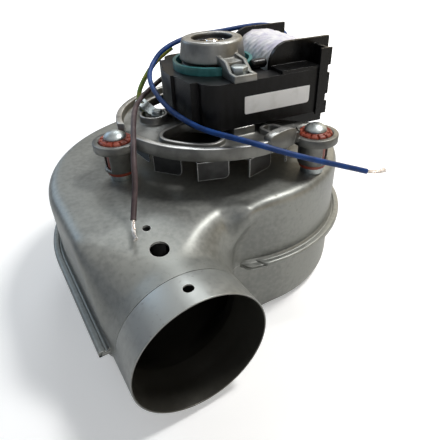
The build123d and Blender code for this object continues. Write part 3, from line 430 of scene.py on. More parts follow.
@dataclass(frozen=True)
class Insulation:
    """Silicone insulation of a lead, with a second tone in long patches and a film of dust."""

    name: str
    colour: Colour
    second: Colour
    dust: Colour = (0.45, 0.44, 0.43)

    def material(self) -> Material:
        """Patches of a few millimetres in two tones, with small dusty spots."""
        graph = Finish(self.name)
        patch = graph.noise(6.0, 2.0)
        spots = graph.noise(0.7, 4.0)
        tone = graph.mix(self.colour, self.second, patch.step(0.42, 0.6))
        tone = graph.mix(tone, self.dust, spots.step(0.62, 0.8) * 0.15)
        rough = 0.38 + spots * 0.2
        normal = graph.bump(spots, 0.02)
        return graph.finish(Base_Color=tone, Roughness=rough, Normal=normal, Specular_IOR_Level=0.3)


@dataclass(frozen=True)
class Vinyl:
    """White vinyl label without print, with faint smudges and a soft gloss."""

    name: str = "label vinyl"
    colour: Colour = (0.88, 0.88, 0.87)
    smudge: Colour = (0.78, 0.78, 0.76)

    def material(self) -> Material:
        """Broad smudges and a fine orange-peel surface."""
        graph = Finish(self.name)
        cloud = graph.noise(7.0, 4.0)
        peel = graph.noise(0.8, 2.0)
        tone = graph.mix(self.colour, self.smudge, cloud.step(0.48, 0.72))
        return graph.finish(Base_Color=tone, Roughness=0.38 + cloud * 0.15, Normal=graph.bump(peel, 0.015))


# Meshes


def full_turn(steps: int) -> Array:
    """Angles round a circle, the last one a step before the first."""
    return np.linspace(0, 2 * pi, steps, endpoint=False)


def smooth_step(value: Array) -> Array:
    """Cubic step: three times the square less twice the cube, of the value held between 0 and 1."""
    held = np.clip(value, 0.0, 1.0)
    return held * held * (3 - 2 * held)


def smooth_union(first: Array, second: Array, reach: float) -> Array:
    """Mix of two distances by a share, less reach times share times rest, which fills their crease."""
    share = np.clip(0.5 + 0.5 * (second - first) / reach, 0.0, 1.0)
    return second + (first - second) * share - reach * share * (1 - share)


def rounded_outline(corners: Sequence[Sequence[float]], radii: Sequence[float], steps: int) -> Array:
    """Closed outline with an arc at each corner.

    Args:
        corners: Corner points in order.
        radii: Radius at each corner.
        steps: Points on each arc.

    Returns:
        Points, where each arc is the quadratic curve from tangent point over the corner to tangent point.
    """
    points = np.asarray(corners, dtype=float)
    back = np.roll(points, 1, axis=0) - points
    ahead = np.roll(points, -1, axis=0) - points
    reach = np.asarray(radii, dtype=float)[:, None]
    start = points + back / np.linalg.norm(back, axis=1, keepdims=True) * reach
    end = points + ahead / np.linalg.norm(ahead, axis=1, keepdims=True) * reach
    t = np.linspace(0, 1, steps)[None, :, None]
    arcs = (1 - t) ** 2 * start[:, None] + 2 * t * (1 - t) * points[:, None] + t**2 * end[:, None]
    return arcs.reshape(-1, points.shape[1])


@dataclass
class Patchwork:
    """Points and faces of one mesh, gathered patch by patch in millimetres."""

    points: list[Array] = field(default_factory=list)
    faces: list[list[int]] = field(default_factory=list)
    count: int = 0

    def grid(self, patch: Array, closed: bool = False) -> Patchwork:
        """Adds a grid of points as quads, whose last column joins the first.

        Args:
            patch: Points, rows by columns by three.
            closed: Whether the last row joins the first.

        Returns:
            The patchwork itself.
        """
        rows, columns = patch.shape[:2]
        index = np.arange(rows * columns).reshape(rows, columns) + self.count
        if closed:
            index = np.vstack([index, index[:1]])
        index = np.hstack([index, index[:, :1]])
        quads = np.stack([index[:-1, :-1], index[:-1, 1:], index[1:, 1:], index[1:, :-1]], axis=-1)
        self.faces += quads.reshape(-1, 4).tolist()
        self.points.append(patch.reshape(-1, 3))
        self.count += rows * columns
        return self

    def ends(self, patch: Array) -> Patchwork:
        """Adds a grid whose rows are closed rings, with a face on the first and the last ring."""
        rows, columns = patch.shape[:2]
        first = self.count
        self.grid(patch)
        self.faces.append(list(range(first, first + columns)))
        self.faces.append(list(range(first + (rows - 1) * columns, first + rows * columns)))
        return self

    def build(self, name: str, sharp: float = 35.0, outward: bool = True) -> Piece:
        """Makes the object.

        Args:
            name: The object's name.
            sharp: Angle in degrees above which an edge stays sharp.
            outward: Whether the normals are worked out again.

        Returns:
            The object, at the origin.
        """
        mesh = bpy.data.meshes.new(name)
        mesh.from_pydata((np.vstack(self.points) * MM).tolist(), [], self.faces)
        shape = bmesh.new()
        shape.from_mesh(mesh)
        bmesh.ops.remove_doubles(shape, verts=shape.verts, dist=1e-7)
        if outward:
            bmesh.ops.recalc_face_normals(shape, faces=shape.faces)
        shape.to_mesh(mesh)
        shape.free()
        shaded(mesh, sharp)
        return linked(name, mesh)


def linked(name: str, data: bpy.types.ID) -> Piece:
    """New object of the scene, with its mesh, curve, lamp or camera."""
    piece = bpy.data.objects.new(name, data)
    bpy.context.scene.collection.objects.link(piece)
    return piece


def shaded(mesh: bpy.types.Mesh, sharp: float) -> None:
    """Smooths a mesh but for its edges above an angle in degrees."""
    mesh.shade_smooth()
    mesh.set_sharp_from_angle(angle=radians(sharp))


def places_of(mesh: bpy.types.Mesh) -> Array:
    """Points of a mesh in millimetres."""
    places = np.empty(len(mesh.vertices) * 3)
    mesh.vertices.foreach_get("co", places)
    return places.reshape(-1, 3) / MM


def turned(profile: Array, steps: int) -> Array:
    """Surface of revolution about the upright axis.

    Args:
        profile: Radius and height, in order.
        steps: Steps round the axis.

    Returns:
        Grid of points: radius times cosine and sine of the turn, with the profile's height.
    """
    turn = full_turn(steps)[None, :]
    radius, height = profile[:, :1], profile[:, 1:]
    return np.stack([radius * np.cos(turn), radius * np.sin(turn), height + 0 * turn], axis=-1)


def pierced(piece: Piece, cutters: Sequence[Piece]) -> None:
    """Cuts holes through a piece by closed bodies, and removes these."""
    for cutter in cutters:
        cut = piece.modifiers.new("hole", "BOOLEAN")
        cut.operation = "DIFFERENCE"
        cut.solver = "EXACT"
        cut.object = cutter
    settled(piece)
    for cutter in cutters:
        bpy.data.objects.remove(cutter)


def marked(piece: Piece, depth: Callable[[Array], Array]) -> None:
    """Marks the inside of a sheet with an attribute of its points.

    Args:
        piece: The piece.
        depth: Depth of points in millimetres under the sheet's outside.
    """
    # The mask marks where the sheet's finish paints shade on the inside.
    mask = smooth_step(depth(places_of(piece.data)) / 0.4 - 0.5)
    attribute = piece.data.attributes.new(INNER, "FLOAT", "POINT")
    attribute.data.foreach_set("value", mask.astype(np.float32))


def settled(piece: Piece, sharp: float = 35.0) -> None:
    """Applies all modifiers of a piece, and keeps edges sharp above an angle in degrees."""
    graph = bpy.context.evaluated_depsgraph_get()
    mesh = bpy.data.meshes.new_from_object(piece.evaluated_get(graph))
    piece.modifiers.clear()
    mesh.name = piece.name
    piece.data = mesh
    shaded(mesh, sharp)


def softened(
    node: str, name: str, width: float, reshape: Callable[[Array], Array] | None = None
) -> Piece:
    """Copy of a CAD node with its doubles merged, flat faces joined and edges rounded.

    Args:
        node: The node's name.
        name: The copy's name.
        width: Width of the rounding in millimetres.
        reshape: Change of the points in millimetres.

    Returns:
        The copy.
    """
    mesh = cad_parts[node].data.copy()
    mesh.materials.clear()
    shape = bmesh.new()
    shape.from_mesh(mesh)
    bmesh.ops.remove_doubles(shape, verts=shape.verts, dist=1e-6)
    bmesh.ops.dissolve_limit(shape, angle_limit=radians(1.0), verts=shape.verts, edges=shape.edges)
    shape.to_mesh(mesh)
    shape.free()
    if reshape is not None:
        mesh.vertices.foreach_set("co", (reshape(places_of(mesh)) * MM).ravel())
        mesh.update()
    piece = linked(name, mesh)
    bevel = piece.modifiers.new("rounding", "BEVEL")
    bevel.width = width * MM
    bevel.segments = 2
    bevel.limit_method = "ANGLE"
    bevel.angle_limit = radians(40)
    bevel.use_clamp_overlap = False
    settled(piece, 40.0)
    return piece


def pin(place: Sequence[float], radius: float, low: float, high: float) -> Piece:
    """Upright round cutter."""
    profile = np.array([(0, low), (radius, low), (radius, high), (0, high)], dtype=float)
    return Patchwork().grid(turned(profile, 48) + np.array([*place, 0.0])).build("cutter")


def seat(piece: Piece, material: Material, slot: str, *nodes: str) -> Piece:
    """Dresses a piece and ties it to the housing.

    Args:
        piece: The piece.
        material: Its finish.
        slot: Not used.
        nodes: CAD nodes that it replaces.

    Returns:
        The piece.
    """
    piece.data.materials.clear()
    piece.data.materials.append(material)
    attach(piece, HOUSING)
    if nodes:
        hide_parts(*nodes)
    log.info("%s on %s, for %s", piece.name, HOUSING, ", ".join(nodes) or "no node")
    return piece


def dress(material: Material, *nodes: str) -> None:
    """Gives a finish to CAD nodes that keep their shape.

    Args:
        material: The finish.
        nodes: The nodes' names.
    """
    for name in nodes:
        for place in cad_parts[name].material_slots:
            place.material = material
    log.info("%s dresses %s", material.name, ", ".join(nodes))


# Volute


@dataclass
class Volute:
    """Sheet steel spiral housing with its outlet duct, seam, spigot and inlet."""

    wall: float = 1.0
    height: float = 70.0
    radius: float = 65.5
    growth: float = 10.5
    shoulder: float = 7.0
    base: float = 9.0
    duct_right: float = -18.29
    duct_root: float = 38.0
    round_start: float = 70.0
    duct_end: float = 76.0
    spigot_radius: float = 30.0
    spigot_wall: float = 0.8
    spigot_length: float = 16.0
    joggle: float = 6.0
    joggle_step: float = 1.0
    joggle_gap: float = 0.05
    valley: float = 18.0
    valley_low: float = 9.0
    valley_high: float = 32.0
    seam_band: float = 10.0
    squareness: float = 0.7
    overshoot: float = 14.0
    middle: tuple[float, float] = (-45.0, -25.0)
    run_out: int = 3
    seam_start: float = -113.0
    hem_start: float = -106.0
    inlet: float = 33.0
    collar: float = 8.0
    flare: float = 1.5
    columns: int = 400
    shaft_hole: float = 9.0
    test_holes: tuple[tuple[float, float], ...] = ((-46.75, 1.8), (-59.25, 4.1))
    hood_circle: float = 48.0
    hood_hole: float = 2.2

    @property
    def half_growth(self) -> float:
        """Distance of each arc's centre from both axes."""
        return self.growth / 2

    @property
    def left(self) -> float:
        """Plan place of the straight left wall."""
        return -(self.radius + 2.5 * self.growth)

    @property
    def spigot_x(self) -> float:
        """Plan place of the spigot's axis."""
        return self.left + self.spigot_radius

    def corner(self, half: Half) -> float:
        """Radius of the rounded edge round one half's flat face."""
        return self.shoulder if half is Half.UPPER else self.base

    def drum(self, x: Array, y: Array) -> Array:
        """Plan distance to the spiral: one arc for each quarter, larger by the growth each time."""
        h = self.half_growth
        right = np.hypot(x - h, y - h) - self.radius
        back = np.hypot(x + h, y - h) - self.radius - self.growth
        left = np.hypot(x + h, y + h) - self.radius - 2 * self.growth
        return np.where(y < -h, right, np.where(x < -h, left, np.where(y < h, right, back)))

    def distance(self, point: Array, half: Half) -> Array:
        """Distance to the volute's outside.

        The plan is the spiral joined to the duct, with a crease that is filled more near the flat faces than
        at the seam. The section is a rounded rectangle on that plan distance, which turns into the spigot's
        circle between the duct's root and its end. Its corners are superellipses, so the shine runs softly
        into them, and they end as circles.

        Args:
            point: Points, last axis of three.
            half: Half of the volute.

        Returns:
            Negative values inside.
        """
        x, y, z = point[..., 0], point[..., 1], point[..., 2]
        rise = self.height / 2
        change = smooth_step((-self.duct_root - y) / (self.round_start - self.duct_root))
        right_line = self.duct_right + (self.spigot_x + self.spigot_radius - self.duct_right) * change
        drum, strip = self.drum(x, y), x - right_line
        level = smooth_step((np.abs(z - rise) - self.seam_band) / (rise - self.seam_band))
        fill = self.valley_low + (self.valley_high - self.valley_low) * level
        joined = np.maximum(smooth_union(drum, strip, fill), self.left - x)
        plan = np.where(y < -self.half_growth, joined, drum)
        duct = smooth_step((drum - strip) / self.valley + 0.5) * change
        corner = self.corner(half)
        corner = corner + (self.spigot_radius - corner) * duct
        across = plan + corner
        up = np.abs(z - rise) - (rise + (self.spigot_radius - rise) * duct - corner)
        power = 2.0 + self.squareness * (1 - duct)
        outside = (np.maximum(across, 0) ** power + np.maximum(up, 0) ** power) ** (1 / power)
        inside = np.minimum(np.maximum(across, up), 0)
        return np.maximum(outside + inside - corner, -self.duct_end - self.overshoot - y)

    def shell(self, half: Half) -> Array:
        """Outside of one half as a grid of turn about the middle and height along the wall.

        Each point lies on a ray from the middle through a plain rounded profile, where the distance is zero.

        Args:
            half: Half of the volute.

        Returns:
            Grid of points, from the seam over the shoulder to the pole.
        """
        turn = full_turn(self.columns)
        middle = np.array([*self.middle, self.height / 2])
        ray = np.stack([np.cos(turn), np.sin(turn), 0 * turn], axis=-1)
        reach = self.root_of(middle, ray, 10.0, 160.0, half)[None, :]
        corner, rise = self.corner(half), self.height / 2
        inner = reach - corner
        low = np.linspace(0, rise - corner, 9)[:-1, None]
        bend = np.linspace(0, pi / 2, 14)[:, None]
        share = np.linspace(1, 0, 34)[1:, None]
        across = np.vstack([reach + 0 * low, inner + corner * np.cos(bend), inner * share])
        up = np.vstack([low, rise - corner + corner * np.sin(bend), rise + 0 * share]) + 0 * reach
        aim = across[..., None] * ray[None] + np.stack([0 * up, 0 * up, half.value * up], axis=-1)
        length = np.linalg.norm(aim, axis=-1, keepdims=True)
        aim = aim / length
        found = self.root_of(middle, aim, 0.4 * length[..., 0], 1.7 * length[..., 0], half)
        return middle + aim * found[..., None]

    def root_of(
        self, start: Array, ray: Array, low: Array | float, high: Array | float, half: Half
    ) -> Array:
        """Length of each ray at which the distance is zero, by halving.

        Args:
            start: Start of all rays.
            ray: Unit directions.
            low: Length inside the form.
            high: Length outside the form.
            half: Half of the volute.

        Returns:
            The lengths.
        """
        low = low + np.zeros(ray.shape[:-1])
        high = high + np.zeros(ray.shape[:-1])
        for _ in range(HALVINGS):
            mid = (low + high) / 2
            outside = self.distance(start + ray * mid[..., None], half) > 0
            low, high = np.where(outside, low, mid), np.where(outside, mid, high)
        return (low + high) / 2

    def sheet(self, half: Half, name: str) -> Piece:
        """One half as sheet: the grid, cut off at the duct's end, with its wall inwards.

        Args:
            half: Half of the volute.
            name: The object's name.

        Returns:
            The object.
        """
        piece = Patchwork().grid(self.shell(half)).build(name)
        shape = bmesh.new()
        shape.from_mesh(piece.data)
        bmesh.ops.bisect_plane(
            shape,
            geom=shape.verts[:] + shape.edges[:] + shape.faces[:],
            plane_co=(0, (0.2 - self.duct_end) * MM, 0),
            plane_no=(0, -1, 0),
            clear_outer=True,
        )
        shape.to_mesh(piece.data)
        shape.free()
        wall = piece.modifiers.new("wall", "SOLIDIFY")
        wall.thickness = self.wall * MM
        wall.offset = -1.0
        wall.use_even_offset = True
        settled(piece)
        marked(piece, lambda points: -self.distance(points, half))
        return piece

    def seam_line(self, start: float) -> tuple[Array, Array]:
        """Line of the wall along the seam, and its outward normal.

        Args:
            start: Angle at which it starts beside the tongue.

        Returns:
            Points and normals: arcs of growing radius, then the straight left wall up to the spigot.
        """
        h, radius, growth = self.half_growth, self.radius, self.growth
        arcs = [(start, 0, h, h, radius)]
        arcs += [(0, 90, -h, h, radius + growth), (90, 180, -h, -h, radius + 2 * growth)]
        points, normals = [], []
        for first, last, x, y, size in arcs:
            turn = np.radians(np.linspace(first, last, 90))
            normal = np.stack([np.cos(turn), np.sin(turn)], axis=-1)
            normals.append(normal)
            points.append(np.array([x, y]) + size * normal)
        y = np.linspace(-h, -self.round_start, 12)[1:]
        points.append(np.stack([self.left + 0 * y, y], axis=-1))
        normals.append(np.stack([-1 + 0 * y, 0 * y], axis=-1))
        return np.vstack(points), np.vstack(normals)

    def strip(self, section: Array, start: float) -> Array:
        """Section carried along the seam, which runs out of the wall over the first steps.

        Args:
            section: Distance from the wall and height, as a closed outline.
            start: Angle at which the strip starts.

        Returns:
            Grid: the seam's point, moved along the normal by the distance, at the section's height.
        """
        points, normals = self.seam_line(start)
        growth = 0.2 + 0.8 * smooth_step(np.arange(len(points)) / self.run_out)
        plan = points[:, None] + normals[:, None] * section[None, :, :1] * growth[:, None, None]
        return np.concatenate([plan, np.broadcast_to(section[None, :, 1:], (*plan.shape[:2], 1))], axis=-1)

    def seam(self) -> tuple[Piece, Piece]:
        """Flange of the upper half, and the flange of the lower half with its folded hem."""
        z = self.height / 2
        rise = [(-0.6, z), (4.0, z), (4.0, z + 1), (1.0, z + 1), (0.1, z + 2.4), (-0.6, z + 2.8)]
        upper = rounded_outline(rise, [0.1, 0.3, 0.3, 0.7, 0.4, 0.1], 5)
        fall = [(-0.6, z - 2.6), (0.1, z - 2.2), (0.9, z - 1), (4.8, z - 1), (4.8, z), (-0.6, z)]
        lower = rounded_outline(fall, [0.1, 0.4, 0.7, 0.45, 0.1, 0.1], 5)
        fold = [(3.6, z - 1), (4.9, z - 1), (4.9, z + 2), (1.9, z + 2), (1.9, z + 1), (3.6, z + 0.9)]
        hem = rounded_outline(fold, [0.1, 0.6, 1.35, 0.4, 0.3, 0.1], 8)
        top = Patchwork().ends(self.strip(upper, self.seam_start)).build("seam_flange")
        low = Patchwork().ends(self.strip(lower, self.seam_start))
        low.ends(self.strip(hem, self.hem_start))
        return top, low.build("seam_hem")

    def spigot(self) -> Piece:
        """Outlet tube revolved about the outlet's axis, with a rounded rim and a joggle inside the duct."""
        r, t, rise = self.spigot_radius, self.spigot_wall, self.height / 2
        start, end = self.duct_end, self.duct_end + self.spigot_length
        low, root = r - self.joggle_step - self.joggle_gap, start - self.joggle
        inside = [(r - self.joggle_step - t, root), (low, root), (low, start), (r, start)]
        corners = [*inside, (r, end), (r - t, end), (r - t, start + 3.0)]
        profile = rounded_outline(corners, [0.1, 0.1, 0.05, 0.25, 0.35, 0.35, 1.5], 5)
        ring = turned(profile, 160)
        place = np.stack([self.spigot_x + ring[..., 0], -ring[..., 2], rise + ring[..., 1]], axis=-1)
        piece = Patchwork().grid(place, closed=True).build("spigot_tube")
        hole = (self.spigot_x, -start - self.spigot_length / 2)
        pierced(piece, [pin(hole, 2.2, rise, self.height)])
        marked(piece, lambda at: r - np.hypot(at[:, 0] - self.spigot_x, at[:, 2] - rise))
        return piece

    def inlet_collar(self) -> Piece:
        """Inlet collar: a ring that is flared at the underside, revolved about the rotor's axis."""
        r, t, high = self.inlet, self.wall, self.collar
        wide = r + t + self.flare
        corners = [(wide, 0.02), (r, 0.02), (r, high), (r + t, high), (r + t, t), (wide, t)]
        ring = turned(rounded_outline(corners, [0.1, 1.0, 0.4, 0.4, 0.4, 0.1], 6), 120)
        return Patchwork().grid(ring, closed=True).build("inlet_ring")

    def make(self) -> None:
        """Builds and dresses the whole volute."""
        rise, steel = self.height / 2, "sheet_steel"
        sheet = CoatedSheet().material()
        tube = CoatedSheet("drawn tube", (0.35, 0.36, 0.345), (0.26, 0.267, 0.257), roughness=0.36)
        upper = self.sheet(Half.UPPER, "volute_top")
        holes = [(0, 0, self.shaft_hole), *((self.spigot_x, y, r) for y, r in self.test_holes)]
        pierced(upper, [pin((x, y), r, rise + 4, self.height + 5) for x, y, r in holes])
        lower = self.sheet(Half.LOWER, "volute_base")
        holes = [(0, 0, self.inlet + self.flare)]
        for turn in (pi / 4, 3 * pi / 4, -3 * pi / 4, -pi / 4):
            holes.append((self.hood_circle * cos(turn), self.hood_circle * sin(turn), self.hood_hole))
        pierced(lower, [pin((x, y), r, -5, rise - 4) for x, y, r in holes])
        flange, hem = self.seam()
        seat(upper, sheet, steel, "volute_upper_shell")
        seat(flange, sheet, steel)
        seat(lower, sheet, steel, "volute_lower_shell")
        seat(hem, sheet, steel)
        seat(self.inlet_collar(), sheet, steel)
        seat(self.spigot(), tube.material(), steel, "outlet_spigot")


# Suspension


@dataclass
class Suspension:
    """Three silicone grommets with their screws, feet and sleeves."""

    circle: float = 55.0
    angles: tuple[float, ...] = (180.0, 300.0, 60.0)
    seat_height: float = 91.2
    head_radius: float = 5.3
    head_height: float = 3.4
    notches: int = 12

    def repeat(self, name: str, ring: Array, closed: bool = True, sharp: float = 35.0) -> Piece:
        """One surface about an upright axis, repeated about each of the three axes.

        Args:
            name: The object's name.
            ring: Grid of points about the origin.
            closed: Whether its profile is a closed outline.
            sharp: Angle in degrees above which an edge stays sharp.

        Returns:
            The object.
        """
        work = Patchwork()
        for angle in self.angles:
            place = [self.circle * cos(radians(angle)), self.circle * sin(radians(angle)), 0.0]
            work.grid(ring + np.array(place), closed)
        return work.build(name, sharp)

    def grommets(self) -> Piece:
        """Silicone: foot, neck, and a flange with a soft crown that is parted by radial notches.

        A notch is a narrow peak of a cosine's even power round the axis. It lowers the crown and draws the
        flange's rim in.
        """
        foot = [(3.4, 73.0), (6.6, 73.0), (6.6, 75.0), (5.7, 75.0)]
        flange = [(5.7, 88.0), (8.1, 88.0), (8.1, 90.3)]
        crown = [(7.0, 91.1), (6.2, 90.7), (5.5, self.seat_height), (3.4, self.seat_height)]
        radii = [0.2, 0.6, 0.3, 0.3, 0.3, 0.3, 0.6, 0.4, 0.3, 0.3, 0.2]
        profile = rounded_outline(foot + flange + crown, radii, 5)
        columns = 144
        ring = turned(profile, columns)
        notch = np.cos(full_turn(columns) * self.notches / 2) ** 24
        notch = notch * smooth_step((ring[..., 2] - 88.4) / 1.2) * smooth_step((profile[:, :1] - 5.4) / 0.6)
        ring[..., :2] *= 1 - 0.07 * notch[..., None]
        ring[..., 2] -= 0.9 * notch
        return self.repeat("silicone_grommets", ring)

    def screws(self) -> Piece:
        """Screws: a shank and a rounded rim, and a dome that falls with a power of the radius."""
        head, low = self.head_radius, self.seat_height
        radius = np.linspace(head - 0.25, 0.0, 16)
        crown = low + self.head_height - (self.head_height - 0.9) * (radius / head) ** 2.4
        shank = [(0.0, 65.0), (2.2, 65.0), (2.2, low)]
        rim = [(head - 0.3, low), (head, low + 0.3), (head, low + 0.75)]
        profile = np.vstack([shank, rim, np.stack([radius, crown], axis=-1)])
        return self.repeat("dome_screws", turned(profile, 56), closed=False, sharp=40.0)

    def feet(self) -> Piece:
        """Spacer feet: short tubes with rounded rims."""
        corners = [(2.5, 70.0), (5.6, 70.0), (5.6, 73.0), (2.5, 73.0)]
        profile = rounded_outline(corners, [0.1, 0.1, 0.4, 0.1], 4)
        return self.repeat("spacer_tubes", turned(profile, 56))

    def make(self) -> None:
        """Builds and dresses the suspension."""
        silicone = Polymer("red silicone", (0.24, 0.038, 0.017), (0.33, 0.08, 0.045), 0.5, 0.6, 0.03)
        light, dull = (0.42, 0.45, 0.45), (0.30, 0.33, 0.33)
        plated = Metal("bright zinc", light, dull, 0.42, cloud=3.0, grain=0.3, depth=0.006).material()
        seat(self.grommets(), silicone.material(), "silicone", "mount_grommets")
        seat(self.screws(), plated, "plated_steel", "mount_screws")
        seat(self.feet(), plated, "plated_steel", "spacer_feet")
        dress(plated, "grommet_sleeves", "weld_nuts", "impeller_nut", "earth_tab", "earth_screw")
        seat(softened("motor_screws", "channel_screws", 0.35), plated, "plated_steel", "motor_screws")


# Motor


@dataclass
class Motor:
    """Shaded-pole motor with its bracket, in a direction of its own about the rotor's axis."""

    turn: float = -7.0
    front: float = 31.5
    label_size: tuple[float, float, float, float] = (1.8, 36.4, 100.3, 108.5)
    label_depth: tuple[float, float] = (-0.05, 0.12)
    tape_half: Place = (14.65, 19.25, 19.5)
    tape_middle: tuple[float, float] = (36.25, 105.9)
    tape_power: float = 2.8
    sleeve_place: Place = (16.6, -16.2, 117.7)
    sleeve_radius: float = 2.2
    sleeve_half: float = 4.3
    ring_top: float = 94.0
    floor_top: float = 90.5
    slack: float = 0.02
    tab_angle: float = 277.0
    tab_place: float = 48.8
    tab_reach: tuple[float, float] = (2.4, 6.7)
    tab_side: float = 6.4
    tab_spread: float = 1.3
    tab_squash: float = 0.45
    stub: tuple[float, float] = (31.1, -37.75)
    stub_reach: tuple[float, float] = (2.6, 1.85)

    def to_world(self, points: Array) -> Array:
        """Turns points from the motor's direction about the rotor's axis."""
        c, s = cos(radians(self.turn)), sin(radians(self.turn))
        return points @ np.array([[c, s, 0], [-s, c, 0], [0, 0, 1]])

    def label(self) -> Piece:
        """Bare label: a thin plate with rounded corners on the stack's front face."""
        left, right, low, high = self.label_size
        corners = [(left, low), (right, low), (right, high), (left, high)]
        outline = rounded_outline(corners, [0.9, 1.6, 0.3, 0.6], 6)
        plate = np.stack([np.insert(outline, 1, -self.front - d, axis=1) for d in self.label_depth])
        return Patchwork().ends(self.to_world(plate)).build("bare_label")

    def tape(self) -> Piece:
        """Wound tape: a superellipse that swells in the coil's middle, wrinkled by slanting sines."""
        half_x, half_y, half_z = self.tape_half
        along = np.linspace(-half_y, half_y, 60)[:, None]
        turn = full_turn(200)[None, :]
        c, s, power = np.cos(turn), np.sin(turn), self.tape_power
        size = (np.abs(c / half_x) ** power + np.abs(s / half_z) ** power) ** (-1 / power)
        wrinkle = 0.16 * np.sin(9 * turn + along * 0.9) + 0.12 * np.sin(23 * turn - along * 1.7)
        wrinkle = wrinkle + 0.1 * np.sin(along * 2.1 + 3 * np.sin(turn * 2))
        size = size - 0.25 + 0.35 * (1 - (along / half_y) ** 2) + wrinkle
        x, z = self.tape_middle
        grid = np.stack([x + size * c, along + 0 * turn, z + size * s], axis=-1)
        return Patchwork().ends(self.to_world(grid)).build("coil_tape")

    def sleeve(self) -> Piece:
        """Insulating sleeve over the coil's end wire, flat on the stack beside the tape.

        Its radius is the full one times the root of one less the eighth power of the way from its middle.
        """
        way = np.linspace(-1, 1, 30)[:, None]
        turn = full_turn(32)[None, :]
        size = self.sleeve_radius * np.sqrt(1.0001 - way**8)
        x, y, z = self.sleeve_place
        x = x + self.sleeve_half * way + 0 * turn
        grid = np.stack([x, y + size * np.cos(turn), z + size * np.sin(turn)], axis=-1)
        return Patchwork().ends(self.to_world(grid)).build("coil_sleeve", 60.0)

    def reshaped(self, points: Array) -> Array:
        """Bracket with its tab lower and wider, and the rim's stub beside the right lug cut down.

        The tab's points keep their place along the radius. Their distance from its middle line grows by a
        factor, and their rise over the ring shrinks by another.
        """
        angle = radians(self.tab_angle)
        out, side = np.array([cos(angle), sin(angle)]), np.array([-sin(angle), cos(angle)])
        plan, height = points[:, :2], points[:, 2]
        along, across = plan @ out - self.tab_place, plan @ side
        near = (np.abs(along) < self.tab_reach[0]) & (np.abs(across) < self.tab_reach[1])
        foot = (np.abs(across) > self.tab_side) & (height > self.ring_top - self.slack)
        tab = near & ((height > self.ring_top + self.slack) | foot)
        moved = points.copy()
        moved[:, :2] += np.where(tab, across * (self.tab_spread - 1), 0.0)[:, None] * side
        moved[:, 2] -= np.where(tab, (height - self.ring_top) * (1 - self.tab_squash), 0.0)
        stub = np.all(np.abs(plan - self.stub) < self.stub_reach, axis=1)
        moved[:, 2] = np.where(stub, np.minimum(height, self.floor_top + 0.05), moved[:, 2])
        return moved

    def make(self) -> None:
        """Builds and dresses the motor, its bracket and its coil."""
        bracket = softened("motor_bracket", "cast_bracket", 0.4, self.reshaped)
        seat(bracket, CastAluminium("cast bracket").material(), "cast_bracket", "motor_bracket")
        light, shade, bright = (0.26, 0.26, 0.247), (0.17, 0.17, 0.16), (0.5, 0.5, 0.49)
        # The dome's finish paints shade into the well round the clip, and a highlight on its edges.
        oiled = CastAluminium("cast dome", light, shade, bright, top=128.7, well=10.2)
        dome = softened("top_bearing_bracket", "cast_dome", 0.3)
        seat(dome, oiled.material(), "cast_bracket", "top_bearing_bracket")
        dress(Varnish().material(), "stator_stack", "coil_core")
        black, worn = (0.003, 0.003, 0.003), (0.009, 0.009, 0.010)
        moulded = Polymer("black bobbin", black, worn, 0.3, edge=0.3, gloss=0.25).material()
        dress(moulded, "coil_bobbin")
        seat(self.sleeve(), moulded, "black_bobbin")
        teal = Polymer("teal ring", (0.03, 0.17, 0.17), (0.07, 0.28, 0.29), 0.35)
        dress(teal.material(), "air_gap_ring")
        # The clip's edges are lightened: partly wear, partly a painted highlight.
        spring = Metal("spring steel", (0.05, 0.05, 0.055), (0.03, 0.03, 0.035), 0.35, cloud=4.0, edge_wear_and_highlight_width=0.3)
        dress(spring.material(), "bearing_clip_upper", "bearing_clip_lower")
        bronze = Metal("sintered bronze", (0.50, 0.38, 0.22), (0.34, 0.26, 0.15), 0.45, cloud=3.0)
        dress(bronze.material(), "upper_bearing", "lower_bearing")
        felt = Polymer("oiled felt", (0.24, 0.20, 0.14), (0.38, 0.33, 0.25), 0.9, 0.3, 0.08)
        dress(felt.material(), "upper_felt", "lower_felt")
        copper = Metal("bare copper", (0.75, 0.36, 0.20), (0.52, 0.24, 0.13), 0.32, cloud=3.0)
        dress(copper.material(), "coil_winding", "shading_rings")
        seat(self.tape(), WoundTape().material(), "white_tape", "coil_wrap")
        seat(self.label(), Vinyl().material(), "white_tape")


class Rotor:
    """Shaft with the motor's core, the cooling fan and the impeller, which keep their shapes."""

    def make(self) -> None:
        """Dresses the rotor's nodes."""
        shaft = Metal("ground shaft", (0.84, 0.84, 0.85), (0.70, 0.70, 0.72), 0.18, cloud=3.0, depth=0.003)
        dress(shaft.material(), "shaft")
        iron = Metal("turned iron", (0.36, 0.36, 0.37), (0.24, 0.24, 0.25), 0.38, stretch=(0.1, 0.1, 1.0))
        dress(iron.material(), "rotor_core")
        ring = Metal("end ring aluminium", (0.70, 0.70, 0.71), (0.56, 0.56, 0.57), 0.42)
        dress(ring.material(), "rotor_end_rings")
        washer = Polymer("washer laminate", (0.20, 0.15, 0.10), (0.30, 0.24, 0.17), 0.6)
        dress(washer.material(), "thrust_washers")
        # The fan's edges are lightened: partly wear, partly a painted highlight.
        dark, edge_wear_and_highlight_tone = (0.075, 0.075, 0.075), (0.95, 0.95, 0.95)
        fan = Metal("fan sheet", dark, (0.05, 0.05, 0.05), 0.4, cloud=8.0, edge=0.2, worn=edge_wear_and_highlight_tone, edge_wear_and_highlight_width=0.8)
        dress(fan.material(), "cooling_fan")
        brass = Metal("turned brass", (0.66, 0.50, 0.24), (0.50, 0.38, 0.18), 0.30, cloud=4.0)
        dress(brass.material(), "cooling_fan_hub", "impeller_hub")
        plate = Metal("galvanised impeller", (0.17, 0.17, 0.165), (0.09, 0.088, 0.08), 0.50, cloud=6.0)
        dress(plate.material(), "impeller_backplate", "impeller_shroud", "impeller_blades")


# Leads


